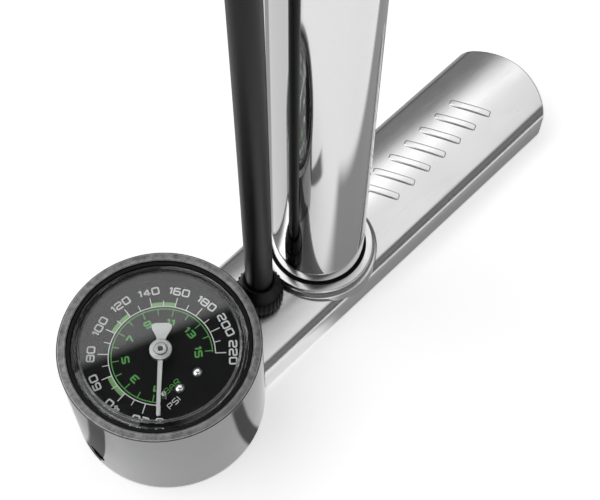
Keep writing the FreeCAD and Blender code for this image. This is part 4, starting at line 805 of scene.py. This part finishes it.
white_ring, green_ring, ring_pen, label_size, label_gap = 18.5, 17.5, 0.34, (1.85, 1.6), 0.7
white = [arc_line(white_ring, dial_angle(0), dial_angle(220), ring_pen)]
for psi in range(0, 230, 10):
    angle, major = dial_angle(psi), psi % 20 == 0
    white.append(tick(angle, white_ring, 22.2 if major else 20.8, ring_pen if major else 0.28))
    if major:
        white += numeral(psi, angle, (2.45, 2.25), 0.58, 24.6)
white += written("PSI", *label_size, 0.30, np.array([pod_x - 9.1, -15.8]), 0.0, label_gap)
put_together("white_scale", white, print_white, "base", sharp=20.0)

BAR_IN_PSI = 14.5038
green = [arc_line(green_ring, dial_angle(0), dial_angle(15.1 * BAR_IN_PSI), ring_pen)]
for bar in range(0, 16):
    angle, major = dial_angle(bar * BAR_IN_PSI), bar % 2 == 1
    green.append(tick(angle, green_ring - (2.6 if major else 2.3), green_ring, 0.32))
    if major:
        green += numeral(bar, angle, (2.2, 2.2), 0.56, 12.6)
green += written("BAR", *label_size, 0.28, np.array([pod_x - 5.5, -11.0]), 0.0, label_gap)
put_together("green_scale", green, print_green, "base", sharp=20.0)
block_radius, block_pen, block_span = 19.35, 1.5, 20
blocks = [arc_line(block_radius, dial_angle(low), dial_angle(low + block_span), block_pen)
          for low in (40, 100, 140)]
blocks = [(grid - np.array([0, 0, ink / 3]), quads) for grid, quads in blocks]  # printed first
put_together("green_blocks", blocks, print_pale_green, "base", sharp=20.0)

dome_chrome = polished("bright screws", (0.85, 0.85, 0.86), (0.08, 0.2), 0.0001)
screw_places = [ring_place(14.2, math.radians(-90 + side * 17)) for side in (-1, 1)]
dome = [(0, 33.0), (0.9, 33.0), (0.9, 39.5), (1.95, 39.5), (1.92, 40.0), (1.65, 40.5),
        (0.95, 40.85), (0, 40.95)]
first, second = [dict(ease=0.25, centre=(*place, 0), looped=False, around=64) for place in screw_places]
turned_piece("dome_screws", dome, dome_chrome, "base", "bright_steel", ["dial_screws"],
             more=[(dome, second)], **first)
stop = ring_place(16.5, math.radians(-128.6))
turned_piece("stop_pin", [(0, 38.6), (0.88, 38.6), (0.88, 45.15), (0, 45.15)], dome_chrome, "base",
             "bright_steel", ["needle_stop_pin"], ease=0.25, centre=(*stop, 0), looped=False, around=48)

# ------------ needle
# A thin blade painted silver, with a flared tail and a stepped hub. The hub is pressed on the
# pinion's arbor and turns with it.
needle_paint = polished("needle silver", (0.55, 0.55, 0.545), (0.32, 0.45), 0.0001, scratches=0.1)
needle_angle = math.radians(-135)


def needle_blade():
    """The blade's half width goes from the flared tail in to the neck as a smooth step, and from the
    hub straight to the tip. A four-sided section is carried along it."""
    tail = -10 + np.array([0, 0.05, 0.18, 0.42, 0.8, 1.2])
    tail_half = 3.5 * np.array([0.50, 0.64, 0.78, 0.90, 0.975, 1.0])
    flare = np.linspace(-8.4, -3.2, 18)
    ease_in = ((flare + 8.4) / 5.2) ** 0.8
    flare_half = 1.45 + 2.05 * (1 - ease_in ** 2 * (3 - 2 * ease_in))
    front = np.array([3.6, 8, 14, 20, 23.2, 23.75, 24.0])
    front_half = np.array([0.84, 0.78, 0.70, 0.61, 0.54, 0.44, 0.15])
    s = np.concatenate([tail, flare, front])
    half = np.concatenate([tail_half, flare_half, front_half])
    low, high = 43.72, 44.18
    corners = np.array([(-1, low), (1, low), (1, high), (-1, high)])
    y = half[:, None] * corners[None, :, 0]
    z = np.broadcast_to(corners[None, :, 1], y.shape)
    cos, sin = math.cos(needle_angle), math.sin(needle_angle)
    grid = np.stack([pod_x + s[:, None] * cos - y * sin, s[:, None] * sin + y * cos, z], -1)
    return grid, bar_skin(len(s))


hub, _ = turned([(0.82, 43.25), (3.95, 43.25), (3.95, 44.65), (2.7, 44.72), (2.3, 44.75), (2.2, 45.35),
                 (0.82, 45.35)], ease=0.22, centre=(pod_x, 0, 0), around=96)
needle_piece = put_together("needle_hand", [needle_blade(), hub], needle_paint, "gauge_needle",
                            ["needle"], sharp=40.0)
rolled_outwards(needle_piece)

# ------------ gauge movement
# The brass works of the gauge: a bent tube that straightens under pressure pulls a link, and a
# toothed sector turns the needle's pinion. Plates, pillars and screws hold it.
brass, tree, shader = finish("turned brass", Metallic=1.0)
facing = group_node(tree, brushed_rings, Vector=round_pod(tree), Fineness=1800.0)
tinted(tree, shader, facing["Shade"], (0.52, 0.36, 0.14), (0.82, 0.62, 0.32))
feed(tree, shader.inputs, Roughness=between(tree, facing["Shade"], 0.2, 0.42))
raised(tree, shader, facing["Height"], 0.00003)
dress(brass, "movement_bottom_plate", "movement_top_plate", "movement_pillars", "bourdon_tube",
      "gauge_socket", "sector_gear", "gauge_link", "dial_posts")
dress(dark_bolt, "pinion")
dress(zinc, "movement_screws")

# ------------ manifold, barrel foot and valve
# Under the beam a drilled alloy block joins the barrel, the hose and the gauge. A plug in the
# barrel's foot holds a steel ball on a spring, so that air goes out and not back.
dress(satin, "air_manifold", "barrel_base_plug", "bore_plug")
dress(seal_rubber, "plug_seal")
dress(zinc, "check_ball")


def valve_spring(turns=7.0, radius=2.3, wire=0.35, low=7.45, high=20.8, around=12):
    """A round wire carried up a helix: the path goes round at one radius while its height grows
    evenly, and the wire's circle is laid out along the directions away from the axis and across
    both it and the path. Both ends close on the path."""
    turn = np.linspace(0, 2 * math.pi * turns, int(turns * 40) + 1)
    rise = (high - low) / (2 * math.pi * turns)
    outward = np.stack([np.cos(turn), np.sin(turn), 0 * turn], -1)
    onward = np.stack([-radius * np.sin(turn), radius * np.cos(turn), np.full(len(turn), rise)], -1)
    across = np.cross(outward, onward / math.hypot(radius, rise))
    path = radius * outward + np.array([0, 0, low]) + rise * turn[:, None] * np.array([0, 0, 1])
    angle = np.linspace(0, 2 * math.pi, around, endpoint=False)[None, :, None]
    grid = path[:, None] + wire * (np.cos(angle) * outward[:, None] + np.sin(angle) * across[:, None])
    ends = [np.repeat(path[i][None, None], around, 1) for i in (0, -1)]
    return closed_round(np.concatenate([ends[0], grid, ends[1]]))


spring_piece = put_together("valve_spring", [valve_spring()], zinc, "base",
                            ["check_spring"], sharp=50.0)
rolled_outwards(spring_piece)
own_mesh(spring_piece)

# ------------ barrel, its collar and cap
# A drawn alloy tube, polished to a mirror. A turned collar whose skirt is cut to the beam's shape
# covers its foot, with a thin black seal between, and a nylon cap closes its top.
collar_alloy = polished("polished collar", (0.72, 0.72, 0.725), (0.14, 0.28), 0.00015)


def collar():
    """The collar's outline carried round the barrel; the points of its foot, drawn at z 12, are moved
    to lie 0.3 mm under the beam's top."""
    outline = [(17.65, 12.0), (22.7, 12.0), (22.7, 17.3), (21.7, 18.6), (21.0, 18.95), (20.95, 20.25),
               (18.2, 20.25), (18.2, 19.5), (17.65, 19.5)]
    (grid, quads), _ = turned(outline, ease=0.35, around=256)
    section_y, section_z, skirt = section(0.0)
    half = slice(len(section_y) // 2, -skirt)
    beam_top = np.interp(np.abs(grid[..., 1]), section_y[half], section_z[half])
    grid[..., 2] = np.where(grid[..., 2] < 14, beam_top - 0.3, grid[..., 2])
    return grid, quads


put_together("foot_collar", [collar()], collar_alloy, "base", ["barrel_collar"])
turned_piece("collar_ring", [(17.55, 19.55), (18.15, 19.55), (18.15, 20.45), (17.55, 20.45)],
             seal_rubber, "base", "black_rubber", ["collar_seal"])

barrel_mirror = polished("mirror barrel", (0.70, 0.70, 0.705), (0.02, 0.07), 0.00008, (1, 1, 0.2),
                         specks=0.012, scratches=0.03)
turned_piece("barrel_tube", [(15.5, 19.1), (17.5, 19.1), (17.5, 575.0), (15.5, 575.0)], barrel_mirror,
             "base", "polished_alloy", ["barrel"], around=256)
turned_piece("barrel_cap", [(17.55, 548.0), (20.7, 548.0), (21.5, 548.8), (21.5, 585.5), (19.0, 588.0),
                            (9.05, 588.0), (9.05, 575.1), (17.55, 575.1)],
             nylon, "base", "black_nylon", ["top_cap"], ease=0.8, around=160)
turned_piece("rod_bush", [(6.05, 568.0), (9.0, 568.0), (9.0, 588.05), (11.5, 588.05), (11.5, 589.4),
                          (10.9, 590.0), (6.05, 590.0)],
             nylon, "base", "black_nylon", ["cap_bush"], around=96)

# ------------ piston
# An alloy piston with a rubber seal and a wear ring, bolted to the foot of a hard-chromed steel
# rod. The rod goes up through the cap's bush to the handle.
dress(satin, "piston_head")
dress(seal_rubber, "piston_seal")
dress(nylon, "piston_wear_ring")
dress(zinc, "piston_bolt")
hard_chrome = polished("hard chrome", (0.80, 0.81, 0.82), (0.05, 0.12), 0.00003, (1, 1, 0.3),
                       scratches=0.12)
turned_piece("pump_rod", [(2.05, 38.6), (4.0, 38.6), (4.0, 58.15), (6.0, 58.15), (6.0, 615.0),
                          (5.0, 616.0), (0, 616.0), (0, 51.0), (2.05, 51.0)],
             hard_chrome, "handle", "hard_chrome", ["piston_rod"], ease=0.25, around=96)

# ------------ handle
# A tube through a cast hub, pinned to the rod, with a soft grip and an end cap on each side. A
# rubber bumper under the hub stops the stroke.
grip_rubber = moulded("grip rubber", (0.020, 0.020, 0.021), (0.05, 0.05, 0.05), (0.55, 0.75), 700.0,
                      0.0002)
dress(foot_rubber, "handle_bumper")
hub_alloy = polished("satin hub", (0.62, 0.62, 0.63), (0.24, 0.36), 0.0002)
dress(hub_alloy, "handle_hub")
dress(zinc, "hub_pin")
dress(satin, "handle_bar")
bar_height = 627.0


def grip_outline(side):
    """A grip's outline along X: a collar, a waist, a belly and its outer end. Its distance is a
    broken line through six sizes, smoothed by a running mean of seven places."""
    place = np.linspace(23.5, 121.5, 40)
    size = np.interp(place, [23.5, 34.0, 56.0, 78.0, 99.75, 121.5],
                     [14.0, 12.6, 14.73, 15.75, 15.05, 13.6])
    smooth = np.convolve(np.pad(size, 3, mode="edge"), np.ones(7) / 7, "valid")
    outline = [(9.05, 19.5), (14.5, 19.5), (14.5, 23.3)] + list(zip(smooth, place)) + [(9.05, 121.5)]
    return [(r, side * h) for r, h in outline]


for name, node, side in (("right_grip", "far_grip", 1), ("left_grip", "near_grip", -1)):
    turned_piece(name, grip_outline(side), grip_rubber, "handle", "black_rubber", [node], ease=0.6,
                 centre=(0, 0, bar_height), along=0, around=128)
end_cap = [(0, 112.0), (7.4, 112.0), (7.4, 121.6), (13.6, 121.6), (13.6, 124.0), (12.1, 125.5),
           (0, 125.5)]
cap_turning = dict(ease=0.5, centre=(0, 0, bar_height), along=0, looped=False, around=96)
turned_piece("bar_end_caps", end_cap, nylon, "handle", "black_nylon", ["grip_end_caps"],
             more=[([(r, -h) for r, h in end_cap], cap_turning)], **cap_turning)

# ------------ hose nut and hook
# A black nylon nut with a ribbed foot and a cone above clamps the hose on its brass fitting. A
# nylon bracket clipped round the barrel's top carries the hose.
dress(brass, "hose_fitting")
nut_nylon = moulded("nut nylon", (0.003, 0.003, 0.003), (0.009, 0.009, 0.0095), (0.30, 0.44), 1500.0,
                    0.00004, Specular_IOR_Level=0.14)
nut_x = hose_route[0][0]


def hose_nut():
    """The nut's outline carried round the hose. Between z 18.6 and 25.6 its distance swells 30 times
    round as ribs, each the root of a half wave."""
    ribs, rib_height = 30, 0.42
    outline = [(7.15, 17.1), (7.6, 17.1), (7.6, 18.5), (8.35, 18.9), (8.35, 25.4), (7.95, 25.8),
               (7.85, 26.8), (6.1, 32.0), (5.2, 32.0), (5.2, 20.3), (7.15, 20.3)]
    (grid, quads), _ = turned(outline, ease=0.25, around=480)
    distance = np.hypot(grid[..., 0], grid[..., 1])
    turn = np.arctan2(grid[..., 1], grid[..., 0])
    ribbed = (distance > 8.2) & (grid[..., 2] > 18.6) & (grid[..., 2] < 25.6)
    swell = np.where(ribbed, rib_height * np.sqrt(np.maximum(np.cos(ribs * turn), 0)), 0)
    grid[..., :2] *= (1 + swell / distance)[..., None]
    return grid + np.array([nut_x, 0, 0]), quads


put_together("ribbed_nut", [hose_nut()], nut_nylon, "base", ["hose_nut"], sharp=45.0)
dress(nylon, "hose_hook")

# ------------ chuck and its dock
# The valve head at the hose's end: an alloy body, a rubber gasket under a nylon cap, and a lever
# on a steel pin that squeezes the gasket. A nylon clip on the barrel holds its neck.
dress(hub_alloy, "chuck_head")
dress(seal_rubber, "chuck_gasket")
dress(nylon, "chuck_plunger", "chuck_dock")
dress(zinc, "lever_pin")
lever_nylon = moulded("lever nylon", (0.022, 0.022, 0.023), (0.05, 0.05, 0.052), (0.38, 0.55), 1300.0,
                      0.00006)
dress(lever_nylon, "chuck_lever", "chuck_cap")
dress(hard_chrome, "hose_ferrule")
